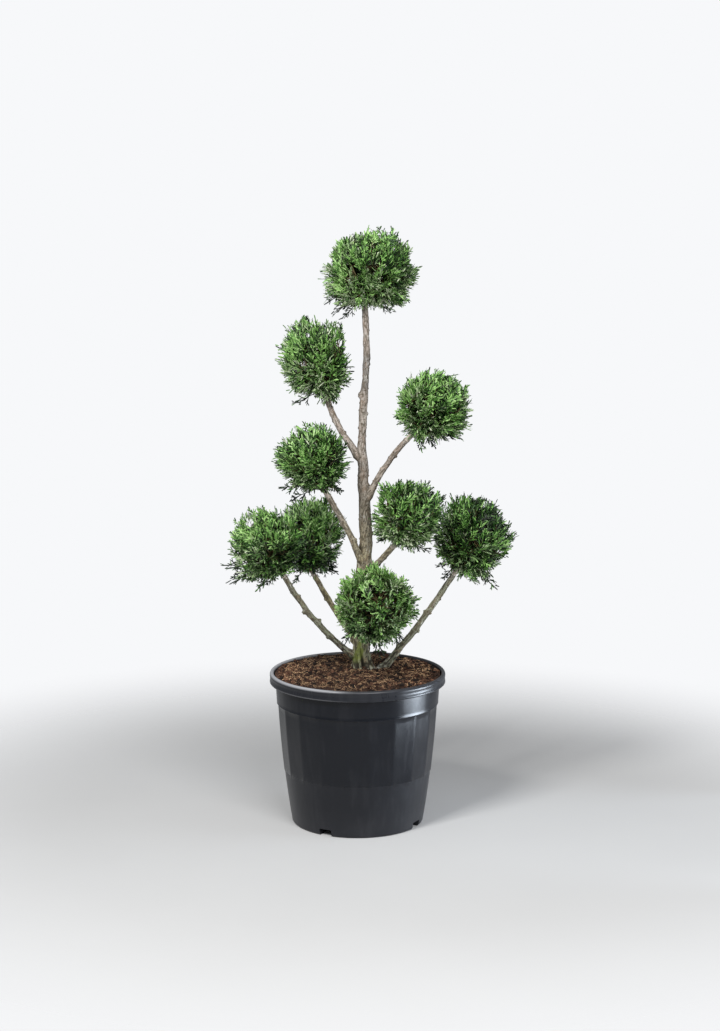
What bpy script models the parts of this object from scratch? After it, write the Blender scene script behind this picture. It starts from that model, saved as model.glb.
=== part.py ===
"""Potted hinoki cypress trained as a multiball topiary: nine clipped balls of foliage on a bare
trunk and eight bare limbs, in a round nursery pot filled with compost.

Units are metres, +Z is up and -Y is the front. The origin is the middle of the pot's flat underside.
"""

import math
import random
from collections import namedtuple

import bmesh
import bpy
from mathutils import Matrix, Vector, noise

# Clearance between two solids that touch.
GAP = 0.0003

# Pot, with each radius measured to the outside of the wall. The wall's taper eases off towards the top.
POT_HEIGHT = 0.310
POT_FOOT_RADIUS = 0.1305
WALL_FOOT_RADIUS = 0.1345
WALL_SLOPE = 0.1706
WALL_EASE = 0.229
WALL = 0.0028
FLOOR_THICKNESS = 0.016
RECESS_INNER_RADIUS = 0.042
RECESS_OUTER_RADIUS = 0.112
RECESS_DEPTH = 0.004
POT_SEGMENTS = 40
PANEL_COUNT = 20
PANEL_LOW_Z = 0.109
PANEL_HIGH_Z = 0.248
COLLAR_LOW_Z = 0.251
COLLAR_LOW_RADIUS = 0.1660
COLLAR_HIGH_RADIUS = 0.1685
RIM_LOW_Z = 0.285
RIM_RADIUS = 0.1805
RIM_INNER_RADIUS = 0.1720
NOTCH_ANGLES = (-118.5, -28.5, 61.5, 151.5)
NOTCH_WIDTH = 0.027
NOTCH_HEIGHT = 0.014
NOTCH_DEPTH = 0.026
CUTTER_OVERSHOOT = 0.020

# Compost, a low mound with a level middle.
SOIL_MIDDLE_Z = 0.312
SOIL_EDGE_Z = 0.2985
SOIL_LEVEL_RADIUS = 0.100

# Trunk. It leans and waves about a vertical line.
TRUNK_X = 0.0130
TRUNK_Y = 0.0150
TRUNK_LEAN = 0.004
TRUNK_LEAN_Z = 0.75
TRUNK_SWAY = 0.0042
TRUNK_WAVE = 0.38
TRUNK_WAVE_Z = 0.495
BACK_WAVE_SHARE = 0.63
BACK_WAVE_TURN = 1.2
TRUNK_TOP_Z = 1.058
# The trunk's radius at heights above the pot's underside; it narrows past each fork.
TRUNK_GIRTH = (
    (0.312, 0.0182),
    (0.500, 0.0172),
    (0.560, 0.0138),
    (0.640, 0.0124),
    (0.690, 0.0113),
    (0.745, 0.0108),
    (0.790, 0.0083),
    (0.865, 0.0080),
    (0.910, 0.0070),
    (1.058, 0.0066),
)
FLARE_RADIUS = 0.0062
FLARE_HEIGHT = 0.015
ROOT_LOBES = 5
ROOT_LOBE_SHARE = 0.15
TRUNK_SIDES = 14
TRUNK_RINGS = 30

LIMB_SIDES = 8
LIMB_RINGS = 9
FOOT_SWELL = 0.30
FOOT_SWELL_FADE = 9

# Foliage. Shares are of a ball's reach, which runs to its clipped surface.
CORE_SHARE = 0.90
CORE_LUMP = 0.07
CORE_LUMP_PITCH = 2.6
CORE_DENT = 0.14
CORE_DENT_ANGLE = 0.6
CORE_SIDES = 12
CORE_RINGS = 8
SPRAY_AREA = 0.0027
SPRAY_ROOT_SHARE = 0.66
SPRAY_REACH = (0.96, 1.05)
MOST_REACH = 1.075
SPRAY_HALF_WIDTH = 0.0150
SPRAY_THICKNESS = 0.0050
SPRAY_JITTER = 0.12
SPRAY_TILT = 0.10
TEETH = 3
SIDE_TOOTH_DROP = 0.12
NOTCH_SHARE = 0.84
RIDGE_SHARE = 0.76
STEM_SIDES = 6
STEM_RADIUS_SHARES = (0.96, 0.93, 0.80, 0.65, 0.50)
TWIGS = 5
TWIG_SIDES = 3
TWIG_RADII = (0.0018, 0.0015, 0.0011)
TWIG_REACH = (0.78, 0.88)
WOOD_MARGIN = 0.0025

BARK = ("bark", (0.30, 0.24, 0.18), 0.85)
FOLIAGE = ("foliage", (0.085, 0.19, 0.05), 0.75)
PLASTIC = ("pot_plastic", (0.035, 0.037, 0.042), 0.42)
COMPOST = ("compost", (0.12, 0.055, 0.028), 0.95)

# A limb rises from foot to tip, and bows off the straight line by bow at its middle.
Limb = namedtuple("Limb", "foot tip bow foot_radius tip_radius")
LIMBS = {
    "upper_left": Limb(
        (0.014, 0.013, 0.739), (-0.063, 0.058, 0.865), (-0.006, -0.007, -0.002), 0.0080, 0.0068
    ),
    "upper_right": Limb(
        (0.014, 0.014, 0.650), (0.102, -0.019, 0.792), (-0.009, -0.001, 0.006), 0.0070, 0.0060
    ),
    "middle_left": Limb(
        (0.015, 0.015, 0.518), (-0.060, -0.034, 0.678), (0.004, -0.002, 0.001), 0.0076, 0.0064
    ),
    "middle_right": Limb(
        (0.013, 0.015, 0.496), (0.073, -0.047, 0.577), (-0.002, -0.003, 0.000), 0.0074, 0.0066
    ),
    "low_left_front": Limb(
        (0.009, 0.013, 0.327), (-0.148, -0.030, 0.511), (-0.013, 0.000, -0.012), 0.0084, 0.0062
    ),
    "low_left_back": Limb(
        (0.009, 0.016, 0.347), (-0.089, 0.100, 0.486), (-0.001, -0.001, 0.000), 0.0078, 0.0060
    ),
    "low_right": Limb(
        (0.042, 0.008, 0.302), (0.198, 0.042, 0.501), (0.002, 0.000, -0.003), 0.0094, 0.0068
    ),
    "low_front": Limb(
        (0.012, 0.013, 0.372), (0.033, -0.050, 0.426), (0.002, -0.002, -0.006), 0.0078, 0.0066
    ),
}
# The one limb that rises out of the compost and not from the trunk.
SOIL_LIMB = "low_right"

# A ball sits on the limb of its own name, and the top one on the trunk. Its reach is its half size
# along X, Y and Z, before it leans by some degrees about the Y axis.
Ball = namedtuple("Ball", "centre reach lean")
BALLS = {
    "top": Ball((0.025, 0.015, 1.134), (0.100, 0.095, 0.083), 0),
    "upper_left": Ball((-0.085, 0.065, 0.948), (0.077, 0.078, 0.090), -12),
    "upper_right": Ball((0.154, -0.025, 0.859), (0.079, 0.077, 0.075), 10),
    "middle_left": Ball((-0.092, -0.035, 0.755), (0.077, 0.076, 0.073), -4),
    "middle_right": Ball((0.102, -0.055, 0.643), (0.072, 0.072, 0.073), 6),
    "low_left_front": Ball((-0.187, -0.030, 0.579), (0.077, 0.077, 0.078), -8),
    "low_left_back": Ball((-0.100, 0.115, 0.571), (0.071, 0.072, 0.080), -6),
    "low_right": Ball((0.240, 0.055, 0.575), (0.081, 0.079, 0.092), 8),
    "low_front": Ball((0.035, -0.115, 0.471), (0.086, 0.083, 0.086), 0),
}


def clear_scene():
    for thing in list(bpy.data.objects):
        bpy.data.objects.remove(thing, do_unlink=True)


def finish_material(finish):
    name, colour, roughness = finish
    found = bpy.data.materials.get(name)
    if found:
        return found
    made = bpy.data.materials.new(name)
    made.use_nodes = True
    shader = made.node_tree.nodes["Principled BSDF"]
    shader.inputs["Base Color"].default_value = (*colour, 1.0)
    shader.inputs["Roughness"].default_value = roughness
    shader.inputs["Metallic"].default_value = 0.0
    made.diffuse_color = (*colour, 1.0)
    return made


def place(name, shape, finish, smooth_degrees=0.0):
    """Turns a bmesh into an object of the scene, with its faces pointing out."""
    bmesh.ops.recalc_face_normals(shape, faces=shape.faces)
    mesh = bpy.data.meshes.new(name)
    shape.to_mesh(mesh)
    shape.free()
    if smooth_degrees:
        mesh.shade_smooth()
        mesh.set_sharp_from_angle(angle=math.radians(smooth_degrees))
    made = bpy.data.objects.new(name, mesh)
    made.data.materials.append(finish_material(finish))
    bpy.context.scene.collection.objects.link(made)
    return made


def apply_boolean(target, operation, others):
    """Cuts or joins the other objects, which are then removed."""
    group = bpy.data.collections.new(target.name + "_parts")
    for other in others:
        group.objects.link(other)
    modifier = target.modifiers.new("join", "BOOLEAN")
    modifier.operation = operation
    modifier.operand_type = "COLLECTION"
    modifier.collection = group
    modifier.solver = "EXACT"
    graph = bpy.context.evaluated_depsgraph_get()
    result = bpy.data.meshes.new_from_object(target.evaluated_get(graph))
    target.modifiers.clear()
    target.data = result
    for other in others:
        bpy.data.objects.remove(other, do_unlink=True)
    bpy.data.collections.remove(group)


def shells_of(shape):
    """The connected groups of faces of a bmesh."""
    unseen = set(shape.faces)
    groups = []
    while unseen:
        todo = [unseen.pop()]
        group = []
        while todo:
            face = todo.pop()
            group.append(face)
            for edge in face.edges:
                for other in edge.link_faces:
                    if other in unseen:
                        unseen.remove(other)
                        todo.append(other)
        groups.append(group)
    return groups


def keep_outer_shell(thing):
    """Drops loose scraps and fills sealed hollows: only the shell with the widest box stays."""
    shape = bmesh.new()
    shape.from_mesh(thing.data)

    def width(group):
        points = [vertex.co for face in group for vertex in face.verts]
        return max(p.x for p in points) - min(p.x for p in points)

    groups = sorted(shells_of(shape), key=width)
    inner = [face for group in groups[:-1] for face in group]
    if inner:
        bmesh.ops.delete(shape, geom=inner, context="FACES")
    shape.to_mesh(thing.data)
    shape.free()


def ring_faces(shape, rings):
    """Bridges each ring of vertices to the next."""
    for low, high in zip(rings, rings[1:]):
        count = len(low)
        for i in range(count):
            j = (i + 1) % count
            shape.faces.new((low[i], low[j], high[j], high[i]))


def turned(profile, segments, side_rule=None):
    """A closed turned solid. The profile runs from the axis at the underside, out, up and back to the axis.

    side_rule gives the share of a radius at an angle, for a wall that isn't round.
    """
    shape = bmesh.new()
    low = shape.verts.new((0.0, 0.0, profile[0][1]))
    high = shape.verts.new((0.0, 0.0, profile[-1][1]))
    rings = []
    for radius, z, *flat in profile[1:-1]:
        ring = []
        for i in range(segments):
            angle = 2 * math.pi * i / segments
            wide = radius * side_rule(angle) if flat else radius
            ring.append(shape.verts.new((wide * math.cos(angle), wide * math.sin(angle), z)))
        rings.append(ring)
    for i in range(segments):
        j = (i + 1) % segments
        shape.faces.new((low, rings[0][j], rings[0][i]))
        shape.faces.new((high, rings[-1][i], rings[-1][j]))
    ring_faces(shape, rings)
    return shape


def panel_share(angle):
    """A polygon of flat panels: 1 at a panel's middle and more at its edges."""
    half = math.pi / PANEL_COUNT
    return 1 / math.cos((angle + half) % (2 * half) - half)


def wall_radius(z):
    """Outer radius of the round wall of the pot at a height."""
    return WALL_FOOT_RADIUS + WALL_SLOPE * z - WALL_EASE * z * z


def pot_profile():
    """The pot's outline from the middle of the underside, round the rim and down to the middle of the floor.

    A third value marks a ring that follows the flat panels.
    """
    panel_middle = (PANEL_LOW_Z + PANEL_HIGH_Z) / 2
    return [
        (0.0, 0.0),
        (RECESS_INNER_RADIUS, 0.0),
        (RECESS_INNER_RADIUS + RECESS_DEPTH, RECESS_DEPTH),
        (RECESS_OUTER_RADIUS - RECESS_DEPTH, RECESS_DEPTH),
        (RECESS_OUTER_RADIUS, 0.0),
        (POT_FOOT_RADIUS, 0.0),
        (wall_radius(0.005), 0.005),
        (wall_radius(PANEL_LOW_Z / 2), PANEL_LOW_Z / 2),
        (wall_radius(PANEL_LOW_Z), PANEL_LOW_Z),
        (wall_radius(PANEL_LOW_Z + 0.003), PANEL_LOW_Z + 0.003, True),
        (wall_radius(panel_middle), panel_middle, True),
        (wall_radius(PANEL_HIGH_Z), PANEL_HIGH_Z, True),
        (COLLAR_LOW_RADIUS, COLLAR_LOW_Z),
        (COLLAR_HIGH_RADIUS, RIM_LOW_Z),
        (RIM_RADIUS - 0.0015, RIM_LOW_Z + 0.001),
        (RIM_RADIUS, RIM_LOW_Z + 0.007),
        (RIM_RADIUS - 0.0005, POT_HEIGHT - 0.006),
        (RIM_RADIUS - 0.0035, POT_HEIGHT - 0.0008),
        (RIM_RADIUS - 0.0060, POT_HEIGHT),
        (RIM_INNER_RADIUS, POT_HEIGHT - 0.003),
        (RIM_INNER_RADIUS - 0.002, RIM_LOW_Z + 0.002),
        (wall_radius(RIM_LOW_Z) - WALL, RIM_LOW_Z - 0.004),
        (wall_radius(panel_middle) - WALL, panel_middle),
        (wall_radius(FLOOR_THICKNESS) - WALL, FLOOR_THICKNESS),
        (0.0, FLOOR_THICKNESS),
    ]


def make_pot():
    pot = place("pot", turned(pot_profile(), POT_SEGMENTS, panel_share), PLASTIC, 30)
    cutters = []
    for degrees in NOTCH_ANGLES:
        shape = bmesh.new()
        bmesh.ops.create_cube(shape, size=1.0)
        size = (NOTCH_WIDTH, NOTCH_DEPTH + CUTTER_OVERSHOOT, 2 * NOTCH_HEIGHT)
        bmesh.ops.scale(shape, vec=size, verts=shape.verts)
        middle = WALL_FOOT_RADIUS + (CUTTER_OVERSHOOT - NOTCH_DEPTH) / 2
        bmesh.ops.translate(shape, vec=(0.0, -middle, 0.0), verts=shape.verts)
        turn = Matrix.Rotation(math.radians(degrees), 3, "Z")
        bmesh.ops.rotate(shape, matrix=turn, verts=shape.verts)
        cutters.append(place("notch", shape, PLASTIC))
    apply_boolean(pot, "DIFFERENCE", cutters)


def make_soil():
    """The compost fills the pot up to a low mound, clear of the wall and the floor."""
    inset = WALL + GAP * 1.5
    floor = FLOOR_THICKNESS + GAP
    panel_middle = (PANEL_LOW_Z + PANEL_HIGH_Z) / 2
    edge = RIM_INNER_RADIUS - 0.002 - GAP * 1.5
    profile = [
        (0.0, floor),
        (wall_radius(floor) - inset, floor),
        (wall_radius(panel_middle) - inset, panel_middle),
        (wall_radius(RIM_LOW_Z) - inset, RIM_LOW_Z - 0.004),
        (edge, RIM_LOW_Z + 0.002),
        (edge, SOIL_EDGE_Z),
        ((SOIL_LEVEL_RADIUS + edge) / 2, SOIL_EDGE_Z * 0.35 + SOIL_MIDDLE_Z * 0.65),
        (SOIL_LEVEL_RADIUS, SOIL_MIDDLE_Z),
        (0.0, SOIL_MIDDLE_Z),
    ]
    place("compost", turned(profile, POT_SEGMENTS), COMPOST, 30)


def tube(points, radii, sides, lobes=None):
    """A closed tapering limb through the points. lobes gives a share of the radius at an angle and a ring."""
    shape = bmesh.new()
    rings = []
    heading = (points[1] - points[0]).normalized()
    across = heading.orthogonal().normalized()
    for i, (point, radius) in enumerate(zip(points, radii)):
        ahead = points[min(i + 1, len(points) - 1)]
        behind = points[max(i - 1, 0)]
        new_heading = (ahead - behind).normalized()
        across = heading.rotation_difference(new_heading) @ across
        heading = new_heading
        beside = heading.cross(across)
        ring = []
        for k in range(sides):
            angle = 2 * math.pi * k / sides
            share = lobes(angle, i) if lobes else 1.0
            offset = (across * math.cos(angle) + beside * math.sin(angle)) * radius * share
            ring.append(shape.verts.new(point + offset))
        rings.append(ring)
    ring_faces(shape, rings)
    shape.faces.new(rings[0])
    shape.faces.new(rings[-1])
    return shape


def trunk_middle(z):
    """The trunk's centre line at a height."""
    turn = 2 * math.pi * (z - TRUNK_WAVE_Z) / TRUNK_WAVE
    sideways = TRUNK_SWAY * math.sin(turn) + TRUNK_LEAN * (z - TRUNK_LEAN_Z)
    back = TRUNK_SWAY * math.sin(turn * BACK_WAVE_SHARE + BACK_WAVE_TURN)
    return Vector((TRUNK_X + sideways, TRUNK_Y + back, z))


def trunk_radius(z):
    for (low, wide), (high, narrow) in zip(TRUNK_GIRTH, TRUNK_GIRTH[1:]):
        if z <= high:
            break
    share = min(max((z - low) / (high - low), 0.0), 1.0)
    flare = FLARE_RADIUS * math.exp(-(z - SOIL_MIDDLE_Z) / FLARE_HEIGHT)
    return wide + (narrow - wide) * share + flare


def trunk_shape(extra=0.0):
    """The trunk, from its flat cut on the compost to its tip. extra thickens it, for a cutter."""
    foot_z = SOIL_MIDDLE_Z + GAP
    steps = [(i / TRUNK_RINGS) ** 1.5 for i in range(TRUNK_RINGS + 1)]
    heights = [foot_z + (TRUNK_TOP_Z - foot_z) * step for step in steps]
    points = [trunk_middle(z) for z in heights]
    points[0].x, points[0].y = points[1].x, points[1].y
    radii = [trunk_radius(z) + extra for z in heights]

    def lobes(angle, ring):
        fade = math.exp(-(heights[ring] - foot_z) / (2 * FLARE_HEIGHT))
        return 1 - ROOT_LOBE_SHARE * fade * math.cos(ROOT_LOBES * angle)

    return tube(points, radii, TRUNK_SIDES, lobes)


def limb_point(limb, share):
    foot, tip, bow = Vector(limb.foot), Vector(limb.tip), Vector(limb.bow)
    return foot.lerp(tip, share) + bow * (4 * share * (1 - share))


def limb_radius(limb, share):
    taper = limb.foot_radius + (limb.tip_radius - limb.foot_radius) * share
    return taper * (1 + FOOT_SWELL * math.exp(-share * FOOT_SWELL_FADE))


def level_foot(thing, z):
    """Cuts a limb off flat at a height and closes the cut."""
    shape = bmesh.new()
    shape.from_mesh(thing.data)
    everything = shape.verts[:] + shape.edges[:] + shape.faces[:]
    cut = bmesh.ops.bisect_plane(
        shape, geom=everything, plane_co=(0, 0, z), plane_no=(0, 0, 1), clear_inner=True
    )
    edges = [item for item in cut["geom_cut"] if isinstance(item, bmesh.types.BMEdge)]
    bmesh.ops.holes_fill(shape, edges=edges)
    bmesh.ops.recalc_face_normals(shape, faces=shape.faces)
    shape.to_mesh(thing.data)
    shape.free()


def make_trunk():
    place("trunk", trunk_shape(), BARK, 50)


def make_limb(name, limb):
    shares = [i / LIMB_RINGS for i in range(LIMB_RINGS + 1)]
    points = [limb_point(limb, share) for share in shares]
    radii = [limb_radius(limb, share) for share in shares]
    made = place("limb_" + name, tube(points, radii, LIMB_SIDES), BARK, 60)
    if name == SOIL_LIMB:
        level_foot(made, SOIL_MIDDLE_Z + GAP)
    else:
        apply_boolean(made, "DIFFERENCE", [place("trunk_cutter", trunk_shape(GAP), BARK)])
        keep_outer_shell(made)


def ball_frame(ball):
    """Carries a unit sphere onto the ball's clipped surface."""
    lean = Matrix.Rotation(math.radians(ball.lean), 4, "Y")
    return Matrix.Translation(ball.centre) @ lean @ Matrix.Diagonal((*ball.reach, 1.0))


def random_offset(rng, most):
    return Vector((rng.uniform(-1, 1), rng.uniform(-1, 1), rng.uniform(-1, 1))) * most


def even_directions(count, rng):
    """Directions spread evenly over a sphere, each moved a little."""
    golden = math.pi * (3 - math.sqrt(5))
    for i in range(count):
        z = 1 - 2 * (i + 0.5) / count
        flat = math.sqrt(1 - z * z)
        even = Vector((flat * math.cos(golden * i), flat * math.sin(golden * i), z))
        yield (even + random_offset(rng, SPRAY_JITTER)).normalized()


def ball_area(ball):
    """A sphere's area, for the mean of the ball's three reaches."""
    return 4 * math.pi * (sum(ball.reach) / 3) ** 2


def near_wood(point):
    """Whether a point lies on a limb or the trunk, or nearer to it than the margin."""
    if point.z < TRUNK_TOP_Z + WOOD_MARGIN:
        if (point - trunk_middle(point.z)).length < trunk_radius(point.z) + WOOD_MARGIN:
            return True
    for limb in LIMBS.values():
        for i in range(4 * LIMB_RINGS + 1):
            share = i / (4 * LIMB_RINGS)
            if (point - limb_point(limb, share)).length < limb_radius(limb, share) + WOOD_MARGIN:
                return True
    return False


def core_shape(frame, down, seed):
    """The dense middle of a ball, with lumps, and a dent where the stem comes in."""
    shape = bmesh.new()
    bmesh.ops.create_uvsphere(shape, u_segments=CORE_SIDES, v_segments=CORE_RINGS, radius=CORE_SHARE)
    for vertex in shape.verts:
        lump = noise.noise(vertex.co * CORE_LUMP_PITCH + Vector((seed, 0, 0)))
        dent = math.exp(-((vertex.co.angle(down) / CORE_DENT_ANGLE) ** 2))
        vertex.co *= 1 + CORE_LUMP * lump - CORE_DENT * dent
    bmesh.ops.transform(shape, matrix=frame, verts=shape.verts)
    return shape


def fan(root, tip, roll, half_width):
    """The outline of a toothed spray from root to tip, and the middle that its two sides rise to."""
    along = (tip - root).normalized()
    length = (tip - root).length
    across = Matrix.Rotation(roll, 3, along) @ along.orthogonal().normalized()
    outline = [(0.0, 0.0)]
    for tooth in range(TEETH):
        side = 2 * tooth / (TEETH - 1) - 1
        outline.append((1.0 - SIDE_TOOTH_DROP * abs(side), side))
        if tooth < TEETH - 1:
            outline.append((NOTCH_SHARE, side + 1 / (TEETH - 1)))
    points = [root + along * (length * u) + across * (half_width * v) for u, v in outline]
    middle = root + along * (length * RIDGE_SHARE)
    return points, middle, along.cross(across)


def spray_shape(root, tip, roll, half_width):
    """A thin toothed blade: two low pyramids, back to back on one outline."""
    shape = bmesh.new()
    points, middle, normal = fan(root, tip, roll, half_width)
    rim = [shape.verts.new(point) for point in points]
    front = shape.verts.new(middle + normal * (SPRAY_THICKNESS / 2))
    back = shape.verts.new(middle - normal * (SPRAY_THICKNESS / 2))
    for one, two in zip(rim, rim[1:] + rim[:1]):
        shape.faces.new((one, two, front))
        shape.faces.new((two, one, back))
    return shape


def tip_of_wood(name):
    """Where a ball's limb or the trunk ends, the way that it points there and its radius."""
    if name not in LIMBS:
        tip = trunk_middle(TRUNK_TOP_Z)
        return tip, (tip - trunk_middle(TRUNK_TOP_Z - 0.02)).normalized(), trunk_radius(TRUNK_TOP_Z)
    limb = LIMBS[name]
    tip = limb_point(limb, 1.0)
    return tip, (tip - limb_point(limb, 1 - 1 / LIMB_RINGS)).normalized(), limb_radius(limb, 1.0)


def stem_points(name, ball):
    """The stem grows on from the wood's tip, a gap clear of it, and bends to the ball's middle."""
    tip, way, radius = tip_of_wood(name)
    foot = tip + way * GAP
    middle = Vector(ball.centre)
    bend = foot + way * ((middle - foot).length * 0.4)
    points = [foot, foot + way * 0.004, foot.lerp(bend, 0.6), bend.lerp(middle, 0.35), middle]
    return points, [radius * share for share in STEM_RADIUS_SHARES]


def sprays(ball, frame, rng):
    """Toothed sprays that stand out of the core, all over the ball."""
    inverse = frame.inverted()
    for direction in even_directions(round(ball_area(ball) / SPRAY_AREA), rng):
        way = (direction + random_offset(rng, SPRAY_TILT)).normalized()
        root = frame @ (direction * SPRAY_ROOT_SHARE)
        tip = frame @ (way * rng.uniform(*SPRAY_REACH))
        roll = rng.uniform(0, math.pi)
        half_width = SPRAY_HALF_WIDTH * rng.uniform(0.85, 1.15)
        outline = fan(root, tip, roll, half_width)[0][1:]
        inside = all((inverse @ point).length < MOST_REACH for point in outline)
        if inside and not any(near_wood(point) for point in outline + [root.lerp(tip, 0.6)]):
            yield place("spray", spray_shape(root, tip, roll, half_width), FOLIAGE)


def twigs(stem, frame, down, rng):
    """Twigs that fork off the stem below the core and run up and out into it."""
    for number in range(TWIGS):
        angle = 2 * math.pi * (number + rng.uniform(0.2, 0.8)) / TWIGS
        side = Matrix.Rotation(angle, 3, down) @ down.orthogonal().normalized()
        start = stem[1].lerp(stem[2], rng.uniform(0.1, 0.7))
        end = frame @ ((down * 0.62 + side * 0.80).normalized() * rng.uniform(*TWIG_REACH))
        path = [start, start.lerp(end, 0.5) + side * 0.004, end]
        if not any(near_wood(start.lerp(end, share)) for share in (0.35, 0.6, 0.9)):
            yield place("twig", tube(path, TWIG_RADII, TWIG_SIDES), FOLIAGE)


def make_ball(name, ball, seed):
    rng = random.Random(seed)
    frame = ball_frame(ball)
    stem, radii = stem_points(name, ball)
    down = (frame.inverted() @ stem[0]).normalized()
    pieces = [place("core", core_shape(frame, down, seed), FOLIAGE)]
    pieces += sprays(ball, frame, rng)
    pieces += twigs(stem, frame, down, rng)
    mass = place("foliage_" + name, tube(stem, radii, STEM_SIDES), FOLIAGE)
    apply_boolean(mass, "UNION", pieces)
    keep_outer_shell(mass)


def main():
    clear_scene()
    make_pot()
    make_soil()
    make_trunk()
    for name, limb in LIMBS.items():
        make_limb(name, limb)
    for seed, (name, ball) in enumerate(BALLS.items(), 1):
        make_ball(name, ball, seed)


main()
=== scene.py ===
"""Looks of the potted hinoki cypress multiball topiary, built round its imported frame.

Units are metres, +Z is up and -Y is the front. The origin is the middle of the pot's flat underside.
"""

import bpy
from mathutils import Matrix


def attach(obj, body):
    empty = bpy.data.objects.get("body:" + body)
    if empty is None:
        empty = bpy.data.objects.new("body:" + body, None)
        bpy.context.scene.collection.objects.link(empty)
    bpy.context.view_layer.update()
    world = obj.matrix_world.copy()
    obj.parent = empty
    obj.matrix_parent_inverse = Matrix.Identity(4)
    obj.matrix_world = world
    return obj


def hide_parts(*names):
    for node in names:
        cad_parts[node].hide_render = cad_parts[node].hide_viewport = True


bl_info = {
    "name": "Potted hinoki cypress topiary",
    "version": (1, 0, 0),
    "blender": (4, 5, 0),
    "location": "3D View > Sidebar > Topiary",
    "description": "Dresses a clipped multiball conifer in its nursery pot",
    "category": "Add Mesh",
}

import math
import random
from collections import namedtuple

import bmesh
import bpy
import numpy as np
from bpy.props import FloatProperty, FloatVectorProperty, IntProperty, PointerProperty
from mathutils import Matrix, Vector, noise

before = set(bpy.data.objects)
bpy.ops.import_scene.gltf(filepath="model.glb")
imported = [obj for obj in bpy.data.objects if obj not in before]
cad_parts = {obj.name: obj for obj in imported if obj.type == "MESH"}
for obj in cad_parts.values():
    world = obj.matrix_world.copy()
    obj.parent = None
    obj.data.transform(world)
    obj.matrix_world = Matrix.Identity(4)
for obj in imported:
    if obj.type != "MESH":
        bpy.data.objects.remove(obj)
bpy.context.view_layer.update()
BODY = "root"

# Pot, as in the solids. Only the lower edges of the rim band and the collar and the top of the panels are
# moved a little, to where the photograph shows them.
POT_HEIGHT = 0.310
POT_FOOT_RADIUS = 0.1305
WALL_FOOT_RADIUS = 0.1345
WALL_SLOPE = 0.1706
WALL_EASE = 0.229
WALL = 0.0028
FLOOR_THICKNESS = 0.016
RECESS_INNER_RADIUS = 0.042
RECESS_OUTER_RADIUS = 0.112
RECESS_DEPTH = 0.004
PANEL_COUNT = 20
PANEL_EDGE_ROUND = 0.0014
PANEL_SINK = 0.0002
FOOT_LIFT = 0.005
COLLAR_ROUND = 0.0008
COLLAR_STEPS = 6
RIM_LIP = 0.0028
RIM_ROLL_WIDTH = 0.0044
RIM_ROLL_HEIGHT = 0.0056
BAND_STEPS = 8
BAND_HOLLOW = 0.0007
POT_SMOOTH_DEGREES = 32
# Where the wall's points stand across a panel, from edge to edge: close together at the rounded edges.
PANEL_STEPS = (-1.0, -0.93, -0.80, -0.45, 0.0, 0.45, 0.80, 0.93)
PANEL_LOW_Z = 0.109
PANEL_HIGH_Z = 0.2445
COLLAR_LOW_Z = 0.2475
COLLAR_LOW_RADIUS = 0.1660
COLLAR_HIGH_RADIUS = 0.1685
RIM_LOW_Z = 0.288
RIM_RADIUS = 0.1805
RIM_INNER_RADIUS = 0.1720
NOTCH_ANGLES = (-118.5, -28.5, 61.5, 151.5)
NOTCH_WIDTH = 0.027
NOTCH_HEIGHT = 0.014
NOTCH_DEPTH = 0.026
NOTCH_ROUND = 0.0022
CUTTER_OVERSHOOT = 0.020

# Compost, a low mound with a level middle.
SOIL_MIDDLE_Z = 0.312
SOIL_EDGE_Z = 0.2985
SOIL_LEVEL_RADIUS = 0.100
SOIL_EDGE_RADIUS = 0.1695
SOIL_SURFACE_RISE = 0.0025

# Trunk. It leans and waves about a vertical line, and narrows past each fork.
TRUNK_X = 0.0130
TRUNK_Y = 0.0150
TRUNK_LEAN = 0.004
TRUNK_LEAN_Z = 0.75
TRUNK_SWAY = 0.0042
TRUNK_WAVE = 0.38
TRUNK_WAVE_Z = 0.495
BACK_WAVE_SHARE = 0.63
BACK_WAVE_TURN = 1.2
TRUNK_TOP_Z = 1.058
TRUNK_GIRTH = (
    (0.312, 0.0182),
    (0.500, 0.0172),
    (0.560, 0.0138),
    (0.640, 0.0124),
    (0.690, 0.0113),
    (0.745, 0.0108),
    (0.790, 0.0083),
    (0.865, 0.0080),
    (0.910, 0.0070),
    (1.058, 0.0066),
)
FLARE_RADIUS = 0.0062
FLARE_HEIGHT = 0.017
ROOT_RIDGES = 6
ROOT_TWIST = 9.0
ROOT_REACH = 0.030
FOOT_SWELL = 0.12
FOOT_SWELL_FADE = 9

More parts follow.
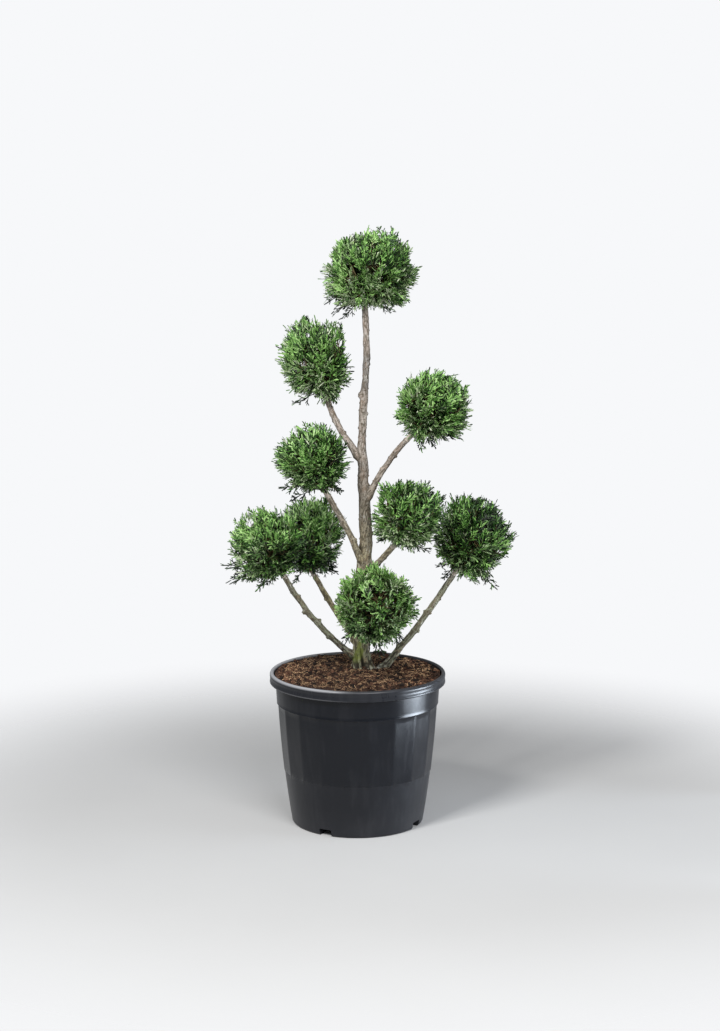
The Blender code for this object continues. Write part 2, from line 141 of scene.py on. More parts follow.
# A limb rises from foot to tip, and bows off the straight line by bow at its middle.
Limb = namedtuple("Limb", "foot tip bow foot_radius tip_radius")
LIMBS = {
    "upper_left": Limb(
        (0.014, 0.013, 0.739), (-0.063, 0.058, 0.865), (-0.006, -0.007, -0.002), 0.0070, 0.0060
    ),
    "upper_right": Limb(
        (0.014, 0.014, 0.650), (0.102, -0.019, 0.792), (-0.007, -0.001, 0.004), 0.0063, 0.0056
    ),
    "middle_left": Limb(
        (0.015, 0.015, 0.518), (-0.060, -0.034, 0.678), (0.004, -0.002, 0.001), 0.0067, 0.0058
    ),
    "middle_right": Limb(
        (0.013, 0.015, 0.496), (0.073, -0.047, 0.577), (-0.002, -0.003, 0.000), 0.0065, 0.0058
    ),
    "low_left_front": Limb(
        (0.009, 0.013, 0.327), (-0.148, -0.030, 0.511), (-0.011, 0.000, -0.010), 0.0066, 0.0054
    ),
    "low_left_back": Limb(
        (0.009, 0.016, 0.347), (-0.089, 0.100, 0.486), (-0.001, -0.001, 0.000), 0.0067, 0.0054
    ),
    "low_right": Limb(
        (0.042, 0.008, 0.302), (0.198, 0.042, 0.501), (0.004, 0.000, -0.003), 0.0071, 0.0057
    ),
    "low_front": Limb(
        (0.012, 0.013, 0.372), (0.033, -0.050, 0.426), (0.002, -0.002, -0.006), 0.0070, 0.0060
    ),
}

# A ball sits on the limb of its own name, and the top one on the trunk. Its reach is its half size
# along X, Y and Z, before it leans by some degrees about the Y axis. Light is a step of its greens, and
# its change towards the right and upwards.
# Its loose sprigs hang out of the clipped underside; each ends at an offset from the ball's middle.
Ball = namedtuple("Ball", "centre reach lean light tufts sprigs")
# A tuft stands out of the outline, and one with a negative rise is a dent. It is turned by some degrees
# from straight up towards the right, and its rise is a share of the ball's reach.
Tuft = namedtuple("Tuft", "turn rise width")
BALLS = {
    "top": Ball(
        (0.025, 0.015, 1.134), (0.099, 0.094, 0.083), 0, (0.6, -0.75, -0.7),
        (
            Tuft(345, -0.09, 13), Tuft(15, 0.05, 12), Tuft(75, -0.09, 12), Tuft(135, 0.08, 16),
            Tuft(172, -0.05, 16), Tuft(220, 0.11, 20), Tuft(285, -0.12, 12), Tuft(320, -0.03, 20),
        ),
        ((-0.091, -0.01, -0.056), (-0.077, 0.01, -0.087), (-0.057, -0.02, -0.098), (0.049, -0.01, -0.088)),
    ),
    "upper_left": Ball(
        (-0.085, 0.065, 0.948), (0.077, 0.078, 0.090), -12, (0.6, -0.5, -0.35),
        (
            Tuft(12, -0.16, 11), Tuft(40, 0.05, 10), Tuft(68, -0.20, 17), Tuft(125, 0.06, 16),
            Tuft(165, 0.10, 12), Tuft(190, -0.08, 12), Tuft(255, 0.06, 12), Tuft(332, 0.07, 13),
        ),
        ((-0.042, -0.01, -0.089), (0.038, -0.01, -0.090), (0.050, 0.03, -0.070)),
    ),
    "upper_right": Ball(
        (0.154, -0.025, 0.859), (0.080, 0.078, 0.076), 10, (0.45, -0.35, -0.35),
        (
            Tuft(5, -0.05, 20), Tuft(50, 0.03, 16), Tuft(75, -0.06, 10), Tuft(130, 0.09, 18),
            Tuft(165, -0.11, 14), Tuft(215, 0.08, 14), Tuft(285, -0.10, 12), Tuft(335, -0.05, 12),
        ),
        ((-0.018, -0.02, -0.085), (0.006, -0.01, -0.083), (0.055, 0.01, -0.066)),
    ),
    "middle_left": Ball(
        (-0.092, -0.035, 0.755), (0.076, 0.075, 0.072), -4, (0.0, -0.6, -0.2),
        (
            Tuft(35, -0.04, 14), Tuft(60, 0.05, 10), Tuft(150, 0.14, 14), Tuft(228, -0.13, 12),
            Tuft(280, 0.06, 14), Tuft(322, -0.08, 18),
        ),
        ((-0.068, -0.01, -0.064), (-0.046, 0.00, -0.086), (0.064, 0.00, -0.068), (0.050, 0.03, -0.062)),
    ),
    "middle_right": Ball(
        (0.102, -0.055, 0.643), (0.072, 0.072, 0.073), 6, (0.3, -0.6, -0.8),
        (
            Tuft(0, -0.04, 14), Tuft(30, 0.06, 12), Tuft(60, 0.12, 10), Tuft(240, 0.14, 18),
            Tuft(290, -0.05, 14), Tuft(322, 0.16, 10),
        ),
        ((-0.063, 0.00, -0.052), (0.044, -0.01, -0.076)),
    ),
    "low_left_front": Ball(
        (-0.187, -0.030, 0.579), (0.077, 0.077, 0.078), -8, (0.0, -0.75, 0.2),
        (
            Tuft(8, -0.10, 14), Tuft(30, 0.12, 10), Tuft(180, 0.06, 10), Tuft(220, 0.18, 14),
            Tuft(262, -0.05, 14), Tuft(310, -0.10, 18),
        ),
        ((-0.082, 0.00, -0.046), (-0.076, -0.01, -0.076), (-0.020, -0.02, -0.095), (0.004, 0.02, -0.086)),
    ),
    "low_left_back": Ball(
        (-0.100, 0.115, 0.571), (0.074, 0.075, 0.083), -6, (-0.35, 0.7, 0.9),
        (Tuft(20, 0.06, 10), Tuft(55, 0.12, 14), Tuft(95, -0.06, 12), Tuft(170, 0.12, 16)),
        ((-0.040, -0.02, -0.101), (0.052, 0.00, -0.080), (0.060, -0.02, -0.060)),
    ),
    "low_right": Ball(
        (0.240, 0.055, 0.575), (0.082, 0.080, 0.093), 8, (-0.4, -0.35, -0.8),
        (
            Tuft(15, 0.03, 14), Tuft(60, -0.06, 16), Tuft(90, 0.04, 9), Tuft(128, -0.13, 24),
            Tuft(195, -0.09, 10), Tuft(230, -0.13, 16), Tuft(330, 0.12, 12),
        ),
        ((-0.066, -0.01, -0.082), (0.050, 0.00, -0.092), (-0.078, -0.01, -0.055)),
    ),
    "low_front": Ball(
        (0.035, -0.115, 0.471), (0.083, 0.081, 0.082), 0, (0.55, -0.45, 0.3),
        (
            Tuft(0, 0.07, 10), Tuft(30, -0.09, 12), Tuft(100, 0.07, 10), Tuft(200, -0.05, 14),
            Tuft(345, -0.14, 10),
        ),
        ((-0.062, -0.01, -0.069), (0.006, -0.02, -0.094), (0.056, 0.00, -0.072)),
    ),
}

# Shaded hollows between the clumps of a ball: how far each lies across and up, as shares of the reach.
HOLLOWS = {
    "top": ((0.0, 0.45), (0.6, 0.4)),
    "upper_left": ((-0.2, 0.5), (0.8, -0.2)),
    "upper_right": ((0.3, 0.4), (-0.6, -0.1)),
    "middle_left": ((0.9, 0.1),),
    "middle_right": ((-0.1, 0.0), (-0.2, 0.5)),
    "low_left_front": ((-0.05, -0.25), (0.7, -0.3)),
    "low_left_back": ((0.1, -0.15), (0.0, -0.6)),
    "low_right": ((0.1, 0.7), (-0.35, 0.1)),
    "low_front": ((-0.15, -0.1), (0.1, 0.05), (-0.15, -0.5)),
}
HOLLOW_WIDTH = 0.28
HOLLOW_SHADE = 1.0
HOLLOW_DENT = 0.03
# Where the sky shows through a ball: how far across and up from its middle, and the gap's radius.
GAPS = {
    "top": ((-0.023, -0.054, 0.005),),
    "upper_left": ((-0.027, -0.009, 0.007), (0.047, 0.034, 0.008), (-0.018, 0.050, 0.005)),
    "upper_right": ((-0.055, 0.002, 0.005),),
    "middle_right": ((-0.045, 0.026, 0.0065), (-0.056, -0.001, 0.005)),
    "low_left_front": ((-0.032, 0.044, 0.008), (-0.042, -0.038, 0.005)),
    "low_left_back": ((0.049, -0.022, 0.007),),
    "low_right": ((0.056, -0.027, 0.006),),
}
# Where the photograph was taken from, and how: its longer side and its focal length in pixels.
EYE = (0.005, -4.05, 1.274)
CAMERA_TILT = 4.88
PICTURE_SIDE = 1031
FOCAL_PIXELS = 2002
HORIZON_SHIFT = -0.14
SENSOR_WIDTH = 36.0

# Each light's place, what it shines on, its width and its height.
KEY_LIGHT = ((-1.5, -2.3, 3.0), (0, 0, 0.75), 0.9, 0.9)
FILL_LIGHT = ((0.9, -2.5, 2.0), (0, 0, 0.6), 1.6, 1.2)
STRIP_LIGHT = ((0.88, -0.14, 0.12), (0.05, -0.08, 0.20), 0.60, 0.22)
FILL_SHARE = 0.52
STRIP_SPREAD = 55
WARM = (1.0, 0.995, 0.98)
COOL = (0.78, 0.88, 1.0)
SURROUND = (0.93, 0.96, 1.0, 1.0)
SURROUND_STRENGTH = 0.34
FLOOR_RADIUS = 3.2
FLOOR_SIDES = 96

DARK_LIMBS = ("low_left_front", "low_right", "low_front")

# Wood relief.
RING_STEP = 0.0024
TRUNK_SIDES = 56
LIMB_SIDES = 30
COLLAR_SWELL = 0.40
COLLAR_REACH = 0.008
BURIED = 0.006
KINK = 0.0022
KINK_PITCH = 26
KINK_SEED = 3
NUB_STEP = 0.009
NUB_RADIUS = (0.0012, 0.0024)
NUB_HEIGHT = (0.0006, 0.0015)
BARK_SMOOTH_DEGREES = 70
# How far a scar's swell reaches, in its own radii.
SCAR_REACH = 2.6
# Bark: pitches round a limb and along it.
PLATE_PITCH = (230, 64)
STRING_PITCH = (560, 150)
SWELL_PITCH = (60, 34)
# How far each part of the bark stands out, in reliefs, and the slow swell as a share of the radius.
PLATE_RISE = 0.55
STRING_RISE = 0.45
FURROW_DEPTH = 1.1
FURROW_STEEPNESS = 6.0
SLOW_SWELL = 0.13
# A limb's bark is finer than the trunk's.
LIMB_RELIEF = 0.8
# The trunk's foot: ridges and grooves as shares of its radius, and how high each reaches.
RIDGE_RISE = 0.20
RIDGE_REACH = 0.014
GROOVE_DEPTH = 0.55
# How much the grooves add to the bark's hollow value, which paints shade in them.
GROOVE_SHADE = 2.2
FLUTES = 11
FLUTE_RISE = 0.05
FLUTE_REACH = 0.05
# A scar: where its raised ring runs and how wide, in its own radii, and the rise of each part as a share.
SCAR_RING_AT = 0.55
SCAR_RING_WIDTH = 0.22
SCAR_KNOB_RISE = 0.9
SCAR_RING_RISE = 0.35
SCAR_SWELL_RISE = 0.3
SCAR_DIMPLE_DEPTH = 0.35
SCAR_DIMPLE_WIDTH = 0.35
# A scar stands at a share along its limb, or at a height on the trunk, turned by some degrees from the
# front towards the right. Its last two sizes are its radius and how far it stands out.
Scar = namedtuple("Scar", "at turn radius height")
SCARS = {
    "trunk": (
        Scar(0.880, -75, 0.0065, 0.0036),
        Scar(0.944, 60, 0.0035, 0.0016),
        Scar(0.842, 95, 0.0032, 0.0020),
        Scar(0.812, -110, 0.0028, 0.0018),
        Scar(0.716, -20, 0.0045, 0.0020),
        Scar(0.695, 70, 0.0036, 0.0022),
        Scar(0.633, -60, 0.0040, 0.0018),
        Scar(0.592, 100, 0.0040, 0.0024),
        Scar(0.563, -30, 0.0052, 0.0018),
        Scar(0.530, 80, 0.0050, 0.0026),
        Scar(0.396, -80, 0.0060, 0.0022),
        Scar(0.985, -150, 0.0034, 0.0018),
        Scar(0.760, 170, 0.0042, 0.0022),
        Scar(0.450, 150, 0.0060, 0.0026),
    ),
    "upper_left": (Scar(0.48, 60, 0.0030, 0.0022), Scar(0.70, -120, 0.0026, 0.0016)),
    "upper_right": (Scar(0.52, -60, 0.0026, 0.0018), Scar(0.74, 90, 0.0026, 0.0020)),
    "middle_left": (Scar(0.40, 60, 0.0030, 0.0022), Scar(0.62, -100, 0.0026, 0.0018)),
    "middle_right": (Scar(0.55, -40, 0.0030, 0.0018),),
    "low_left_front": (
        Scar(0.36, -95, 0.0030, 0.0020),
        Scar(0.52, 80, 0.0036, 0.0030),
        Scar(0.66, -90, 0.0038, 0.0034),
        Scar(0.80, 70, 0.0030, 0.0022),
    ),
    "low_left_back": (Scar(0.50, 75, 0.0030, 0.0024), Scar(0.72, -80, 0.0030, 0.0022)),
    "low_right": (
        Scar(0.28, -70, 0.0038, 0.0026),
        Scar(0.47, 80, 0.0034, 0.0028),
        Scar(0.63, -70, 0.0030, 0.0024),
        Scar(0.78, 100, 0.0026, 0.0018),
    ),
    "low_front": (Scar(0.60, 30, 0.0028, 0.0016),),
}

# Foliage. Shares are of a ball's reach, which runs to its clipped surface.
LUMP = 0.060
LUMP_PITCH = 2.6
FINE_LUMP = 0.105
FINE_LUMP_PITCH = 5.6
SPRAY_REACH = (0.86, 1.00)
SPRAY_LEAN = (0.35, 1.25)
OPEN_PATCH = -0.22
OPEN_SHARE = 0.6
SPIKY_SHARE = 0.34
SPIKE = 0.07
SPRAY_JITTER = 0.14
SPRAY_ROLL = 0.65
SPIKY_ROLL = 1.5
SPIKY_LEAN = 0.4
PATCH_PITCH = 3.4
# Steps of the greens: a spray's own middle one, then what changes it.
MIDDLE_TONE = 2.20
CLUMP_TONE = 0.15
PATCH_TONE = 0.45
# Painted light: sprays on the lumps that stand out are lighter.
BULGE_LIGHT = 2.0
# Painted shade: spiky sprays that stand out of the outline are darker.
SPIKY_SHADE = -0.5
SPRAY_TONE_SPREAD = 0.45
BRANCHLET_TONE_SPREAD = 1.4
# Sprays deep in a ball are in the darkest greens: painted shade.
INNER_SHADE_TONE = (-1.0, 0.4)
INNER_REACH = (0.50, 0.72)
WOOD_MARGIN = 0.0030
SIDE_SHOOTS = 8
OPEN_SIDE_SHOOTS = 5
PLAN_SEED = 7
PLANS = 40
OPEN_PLANS = 16
# The steps of the greens carry the foliage's painted light and shade as well as its own greens.
GREENS = (
    (9, 25, 6),
    (33, 65, 22),
    (82, 121, 61),
    (128, 166, 100),
    (160, 193, 131),
    (192, 215, 168),
)
# The fresh sprays are of a clear green and the old ones duller; each is a share of a green's red and blue.
# Old sprays are also darker and fresh ones lie more high up: real new growth, and partly painted light from
# above.
HUES = ((0.93, 0.83), (1.07, 1.10))
FRESH_PITCH = 32
FRESH_RISE = 0.35
FRESH_SPREAD = 0.22
SPRAY_CURL = (0.03, 0.10)
INNER_FOOT = (0.22, 0.32)
# Branchlets are darkened by painted shade below one share of the reach and, where they stand out, past
# another.
DEEP_SHARE = 0.88
PROUD_SHARE = 0.98
# Wood inside a ball: radii along a twig, and the stem's as shares of its limb's.
STEM_TAPER = (1.0, 0.94, 0.84, 0.68, 0.50)
BOUGHLETS = 11
BOUGHLET_RADII = (0.0030, 0.0026, 0.0021, 0.0017, 0.0012)
BOUGHLET_SAG = -0.006
TWIG_RADII = (0.0011, 0.0009, 0.0008, 0.0005)
SPRIG_RADII = (0.0016, 0.0013, 0.0009)

# Compost. Each row of crumbs has a pitch, a layer of the noise and a height as a share of the relief.
CRUMBS = ((42, 3.1, 1.25), (150, 7.7, 0.75), (420, 1.3, 0.40))
BED_RINGS = 92
BED_SIDES = 250
BED_CLEARANCE = 0.0006
CLEAR_OF_TRUNK = 0.024
CHIP_SEED = 41
CHIP_TONES = (0, 0, 1, 1, 2)
CHIP_LEAST = 0.0018
CHIP_MORE = 0.0060
CHIP_RAGGED = 0.22
# A dark lump of bark behind the trunk, at the right.
LUMP_PLACE = (0.050, 0.150)
LUMP_CHIPS = 26
FIBRE_SEED = 43
FIBRE_STEPS = 4
FIBRE_LENGTH = (0.006, 0.020)
FIBRE_RADIUS = (0.00018, 0.00034)
STOUT_FIBRE_RADIUS = 0.00060
STOUT_FIBRE_EVERY = 7
# A hooked dead twig that stands out of the compost: places, heights above it and radii.
HOOKED_PLACES = ((0.034, 0.030), (0.035, 0.031), (0.038, 0.031), (0.041, 0.030), (0.042, 0.029))
HOOKED_RISES = (0.0, 0.010, 0.019, 0.022, 0.016)
HOOKED_RADII = (0.0011, 0.0010, 0.0009, 0.0008, 0.0005)

# A spray's fan: width and tone of each length of its spine, and where each side shoot forks and how long.
SPINE = ((0.70, -1.6), (0.90, -0.6), (1.00, 0.8))
SPINE_LENGTH = 0.41
SPINE_STRIDE = 0.31
SIDE_FORKS = ((0.32, 0.50), (0.58, 0.40))
FORK_OPENING = 0.62
# Side shoots open by some degrees at the foot and close up towards the tip, where they are shorter.
SIDE_OPENING = 44
SIDE_CLOSING = 24
SIDE_LENGTH = 0.50
SIDE_SHORTENING = 0.36
FORKED_LENGTH = 0.30
# How much the branchlets of a spray vary, in radians and as shares.
HEADING_SPREAD = 0.07
LIFT_SPREAD = 0.09
FACE_SPREAD = 0.45
LENGTHS = (0.88, 1.12)
WIDTHS = (0.85, 1.15)

# Fixed colours, as on a screen from 0 to 255.
# A lighter lip on the left of the rim: dusting with a painted highlight.
LIP_DUST_AND_HIGHLIGHT = (178, 179, 184)
DARK_STRETCH_BARK = (100, 99, 98)
RUSTY_BARK = (124, 98, 76)
PALE_BARK = (188, 186, 178)
# Painted shade in the furrows near the foot.
FOOT_FURROW_SHADE = (46, 42, 34)
BARK_FLECKS = (62, 50, 36)
DARK_TWIG = (52, 46, 28)
PALE_TWIG = (112, 98, 62)
CHIP_BROWNS = ((66, 44, 33), (31, 23, 19), (98, 70, 54))
COIR = (184, 150, 116)
BACKDROP = (247, 248, 250)

# A leafy branchlet of length 1 and width 1: its ridge, with a lift, then half its outline from foot to
# blunt tip, and the faces of one side.
BLADE_RIDGE = ((0.00, 0.26), (1.00, 0.14))
BLADE_HALF = ((0.00, 0.22), (0.34, 0.50), (0.86, 0.42))
BLADE_SIDE_FACES = ((0, 2, 3), (0, 3, 1), (3, 4, 1))


def linear(red, green, blue):
    """A colour as a shader reads it, from its 0 to 255 values on a screen."""

    def channel(value):
        share = value / 255
        return share / 12.92 if share <= 0.04045 else ((share + 0.055) / 1.055) ** 2.4

    return tuple(channel(value) for value in (red, green, blue))


def colour_setting(name, description, *screen):
    return FloatVectorProperty(name=name, description=description, subtype="COLOR", default=linear(*screen))


def measure_setting(name, description, unit, default, least=0.0):
    return FloatProperty(name=name, description=description, unit=unit, default=default, min=least)


def count_setting(name, description, default):
    return IntProperty(name=name, description=description, default=default, min=0)


class TopiaryPotSettings(bpy.types.PropertyGroup):
    plastic: colour_setting("Plastic", "Colour of the moulded pot", 9, 12, 19)
    # This colour also makes the painted highlight along the lower edge of the rim band on the left.
    dust_and_highlight: colour_setting("Dust", "Colour of the dried water marks and dust", 120, 120, 124)
    gloss: FloatProperty(
        name="Gloss", description="Share of shine on the flat panels", subtype="FACTOR", default=0.79,
        min=0, max=1,
    )


class TopiaryCompostSettings(bpy.types.PropertyGroup):
    fines: colour_setting("Fines", "Colour of the fine compost", 65, 45, 35)
    chips: count_setting("Chips", "Number of bark chips on the surface", 3600)
    fibres: count_setting("Fibres", "Number of coir fibres on the surface", 1500)
    relief: measure_setting("Relief", "Height of the crumbs", "LENGTH", 0.0032)


class TopiaryWoodSettings(bpy.types.PropertyGroup):
    low_bark: colour_setting("Low bark", "Bark colour near the compost", 154, 145, 108)
    dark_bark: colour_setting("Dark bark", "Bark colour of the low limbs", 124, 126, 104)
    high_bark: colour_setting("High bark", "Bark colour near the top", 156, 146, 138)
    # The colour of the painted shade down in the bark's furrows.
    furrow: colour_setting("Furrows", "Colour down in the bark's furrows", 80, 72, 58)
    moss: colour_setting("Moss", "Colour of the algae on the trunk's foot", 122, 132, 66)
    relief: measure_setting("Relief", "Depth of the bark's furrows", "LENGTH", 0.0008)


class TopiaryFoliageSettings(bpy.types.PropertyGroup):
    spray_area: measure_setting("Spray area", "Clipped surface for each spray", "AREA", 0.000132, 0.00005)
    inner_area: measure_setting(
        "Inner area", "Clipped surface for each spray deep in a ball", "AREA", 0.00080, 0.0001
    )
    blade_width: measure_setting("Branchlet width", "Width of a leafy branchlet", "LENGTH", 0.0026, 0.001)
    spray_length: measure_setting("Spray length", "Length of a spray", "LENGTH", 0.038, 0.010)


class TopiaryStageSettings(bpy.types.PropertyGroup):
    key_power: measure_setting("Key power", "Power of the soft light at the front left", "POWER", 116)
    strip_power: measure_setting("Strip power", "Power of the low light at the right", "POWER", 1.5)
    floor: colour_setting("Floor", "Colour of the pale floor", 198, 198, 198)


class Value:
    """Wraps a node's output socket, so that an expression on it adds its Math nodes."""

    def __init__(self, finish, socket):
        self.finish = finish
        self.socket = socket

    def maths(self, operation, first, second):
        return self.finish.node("ShaderNodeMath", {"operation": operation}, {0: first, 1: second})

    def __add__(self, other):
        return self.maths("ADD", self, other)

    def __sub__(self, other):
        return self.maths("SUBTRACT", self, other)

    def __rsub__(self, other):
        return self.maths("SUBTRACT", other, self)

    def __mul__(self, other):
        return self.maths("MULTIPLY", self, other)

    __radd__ = __add__
    __rmul__ = __mul__


class Finish:
    """A material of one Principled BSDF, with the nodes that drive it."""

    def __init__(self, name, **constants):
        self.material = bpy.data.materials.new(name)
        self.material.use_nodes = True
        self.shader = self.material.node_tree.nodes["Principled BSDF"]
        for socket, value in constants.items():
            self.drive(socket.replace("_", " "), value)

    def node(self, kind, settings=None, sockets=None, output=0):
        """Adds a node by its type, its settings, and the values or links of its sockets."""
        made = self.material.node_tree.nodes.new(kind)
        for name, value in (settings or {}).items():
            setattr(made, name, value)
        for name, value in (sockets or {}).items():
            self.feed(made.inputs[name], value)
        return Value(self, made.outputs[output])

    def feed(self, socket, value):
        if isinstance(value, Value):
            self.material.node_tree.links.new(value.socket, socket)
        elif getattr(socket, "type", "") == "RGBA":
            socket.default_value = (*value, 1.0)
        else:
            socket.default_value = value

    def drive(self, socket, value):
        self.feed(self.shader.inputs[socket], value)

    def place(self):
        """Where a point is, in the part's own frame."""
        return self.node("ShaderNodeTexCoord", output="Object")

    def attribute(self, name):
        return self.node("ShaderNodeAttribute", {"attribute_name": name}, output="Vector")

    def stretched(self, place, by):
        return self.node("ShaderNodeVectorMath", {"operation": "MULTIPLY"}, {0: place, 1: by})

    def axis(self, place, name):
        return self.node("ShaderNodeSeparateXYZ", None, {0: place}, name)

    def mottle(self, place, scale, detail=4.0, roughness=0.55):
        """Cloudy noise from 0 to 1, with its patches a scale-th of a metre wide."""
        sockets = {"Vector": place, "Scale": scale, "Detail": detail, "Roughness": roughness}
        return self.node("ShaderNodeTexNoise", None, sockets)

    def ramped(self, value, low, high):
        """0 below low, 1 above high and a smooth slope between."""
        sockets = {"Value": value, "From Min": low, "From Max": high}
        return self.node("ShaderNodeMapRange", {"interpolation_type": "SMOOTHSTEP"}, sockets)

    def mixed(self, share, first, second):
        """A colour between two."""
        return self.node("ShaderNodeMix", {"data_type": "RGBA"}, {0: share, 6: first, 7: second}, 2)

    def bump(self, height, distance, strength=1.0):
        sockets = {"Strength": strength, "Distance": distance, "Height": height}
        self.drive("Normal", self.node("ShaderNodeBump", None, sockets))


def plastic_finish(settings):
    """Satin black plastic: smooth where it was moulded, dusted low down, with faint runs of dried water, and
    a painted highlight on the left along the rim's lip and the lower edge of its band.
    """
    finish = Finish("pot_plastic", Specular_IOR_Level=0.32)
    place = finish.place()
    height = finish.axis(place, "Z")
    clouds = finish.mottle(place, 14.0)
    runs = finish.mottle(finish.stretched(place, (1.0, 1.0, 0.06)), 95.0, 3.0)
    specks = finish.ramped(finish.mottle(place, 620.0, 1.0), 0.72, 0.80)
    low = finish.ramped(PANEL_LOW_Z + 0.001 - height, 0.0, 0.002)
    splash = finish.ramped(0.05 - height, -0.02, 0.05) * clouds
    lip = finish.ramped(height, POT_HEIGHT - 0.006, POT_HEIGHT - 0.001)
    band = finish.ramped(height, RIM_LOW_Z - 0.001, RIM_LOW_Z + 0.001)
    dust_and_highlight = finish.ramped(runs * clouds, 0.22, 0.42) * 0.025 + low * 0.022 + splash * 0.08 + specks * 0.08
    sideways = finish.axis(place, "X")
    # Painted highlight on the left, where the key light falls: along the rim's lip and the lower edge of its
    # band.
    left = finish.ramped(0.0 - sideways, 0.0, 0.09)
    fold_highlight = finish.ramped(RIM_LOW_Z + 0.0035 - height, 0.0, 0.0012) * left
    # Dusting on the lip and band, with the painted highlight on the band's lower edge at the left.
    dust_and_highlight = dust_and_highlight + lip * clouds * 0.16 + band * (0.05 + fold_highlight * 0.40)
    dust_and_highlight_tint = finish.mixed(dust_and_highlight, tuple(settings.plastic), tuple(settings.dust_and_highlight))
    # The lip is lighter on the left: dusting with a painted highlight.
    finish.drive("Base Color", finish.mixed(lip * left * 0.7, dust_and_highlight_tint, linear(*LIP_DUST_AND_HIGHLIGHT)))
    matte = 1.0 - settings.gloss
    finish.drive("Roughness", matte + low * 0.09 + clouds * 0.06 + dust_and_highlight * 0.6)
    grain = finish.mottle(place, 900.0, 2.0)
    waves = finish.mottle(finish.stretched(place, (1.0, 1.0, 0.5)), 26.0, 2.0)
    finish.bump(grain * 0.06 + waves, 0.0011, 0.55)
    return finish.material


def compost_finish(name, colour, dark_share):
    """Crumbs darkened with painted shade in the hollows of their relief, with paler dry grains."""
    finish = Finish(name, Specular_IOR_Level=0.25)
    place = finish.place()
    crumbs = finish.mottle(place, 240.0, 6.0, 0.7)
    patches = finish.mottle(place, 30.0)
    dark = tuple(channel * dark_share for channel in colour)
    pale = tuple(min(channel * 1.9, 1.0) for channel in colour)
    sideways = finish.axis(place, "X")
    dry = finish.ramped(sideways * sideways + sideways * 0.03, 0.003, 0.016)
    # Painted shade: darker where the crumbs' relief, which is also their bump, is low.
    darkened = finish.mixed(finish.ramped(crumbs * 0.7 + patches * 0.3, 0.42, 0.58), dark, tuple(colour))
    finish.drive("Base Color", finish.mixed(finish.ramped(crumbs + dry * 0.12, 0.58, 0.68), darkened, pale))
    finish.drive("Roughness", 0.82 + patches * 0.15)
    finish.bump(crumbs, 0.0012)
    return finish.material


def bark_finish(name, low_bark, settings):
    """Thin stringy bark: olive grey low down and pinkish tan higher up, with moss on the foot and painted
    shade down in its furrows.
    """
    finish = Finish(name, Specular_IOR_Level=0.3)
    place = finish.place()
    grain = finish.attribute("grain")
    hollow = finish.node("ShaderNodeAttribute", {"attribute_name": "hollow"}, output="Fac")
    height = finish.axis(place, "Z")
    strings = finish.mottle(finish.stretched(grain, (1.0, 1.0, 0.30)), 420.0, 5.0, 0.65)
    plates = finish.mottle(finish.stretched(grain, (1.0, 1.0, 0.50)), 130.0, 4.0)
    patches = finish.mottle(place, 40.0)
    flecks = finish.mottle(finish.stretched(grain, (0.5, 0.5, 1.0)), 380.0, 2.0)
    rise = finish.ramped(height + patches * 0.12, 0.46, 0.84)
    # Darker towards the foot, with more pale strings and darker furrows there.
    darkened = finish.ramped(0.405 - height, 0.0, 0.07)
    foot = finish.mixed(darkened * 0.80, tuple(low_bark), tuple(settings.dark_bark))
    # A darker grey stretch high on the trunk.
    darker_stretch = finish.ramped(height, 0.875, 0.900) * finish.ramped(0.970 - height, 0.0, 0.02) * 0.7
    high = finish.mixed(darker_stretch, tuple(settings.high_bark), linear(*DARK_STRETCH_BARK))
    bark = finish.mixed(rise, foot, high)
    rust = finish.mixed(finish.ramped(plates, 0.50, 0.66) * 0.5, bark, linear(*RUSTY_BARK))
    paleness = finish.ramped(patches * 0.4 + strings * 0.6 + darkened * 0.02, 0.52, 0.62) * (darkened * 0.2 + 0.65)
    pale = finish.mixed(paleness, rust, linear(*PALE_BARK))
    # Painted shade: darker in the furrows, where the bark is hollow.
    furrows = finish.ramped(hollow + strings * 0.8 + darkened * 0.05, 0.72, 1.15) * (darkened * 0.2 + 0.75)
    deep = finish.mixed(darkened, tuple(settings.furrow), linear(*FOOT_FURROW_SHADE))
    furrowed = finish.mixed(furrows, pale, deep)
    flecked = finish.mixed(finish.ramped(flecks, 0.59, 0.65) * 0.75, furrowed, linear(*BARK_FLECKS))
    sideways = finish.axis(place, "X")
    streak = sideways + (0.350 - height) * 0.35
    side = finish.ramped(0.017 - streak, 0.0, 0.008) * finish.ramped(streak, -0.010, 0.0)
    low = finish.ramped(0.390 - height, 0.0, 0.02) * finish.ramped(height, 0.322, 0.338)
    moss = finish.ramped(patches * 0.5 + plates * 0.5, 0.36, 0.52) * low * side * 0.85
    finish.drive("Base Color", finish.mixed(moss, flecked, tuple(settings.moss)))
    finish.drive("Roughness", 0.70 + plates * 0.25)
    finish.bump(strings * 0.7 + plates * 0.5 - moss * 0.2, 0.0016, 1.0)
    return finish.material


def twig_finish():
    finish = Finish("twig", Specular_IOR_Level=0.3)
    place = finish.place()
    streaks = finish.mottle(place, 420.0)
    finish.drive("Base Color", finish.mixed(streaks, linear(*DARK_TWIG), linear(*PALE_TWIG)))
    finish.drive("Roughness", 0.65 + streaks * 0.25)
    finish.bump(streaks, 0.0004)
    return finish.material


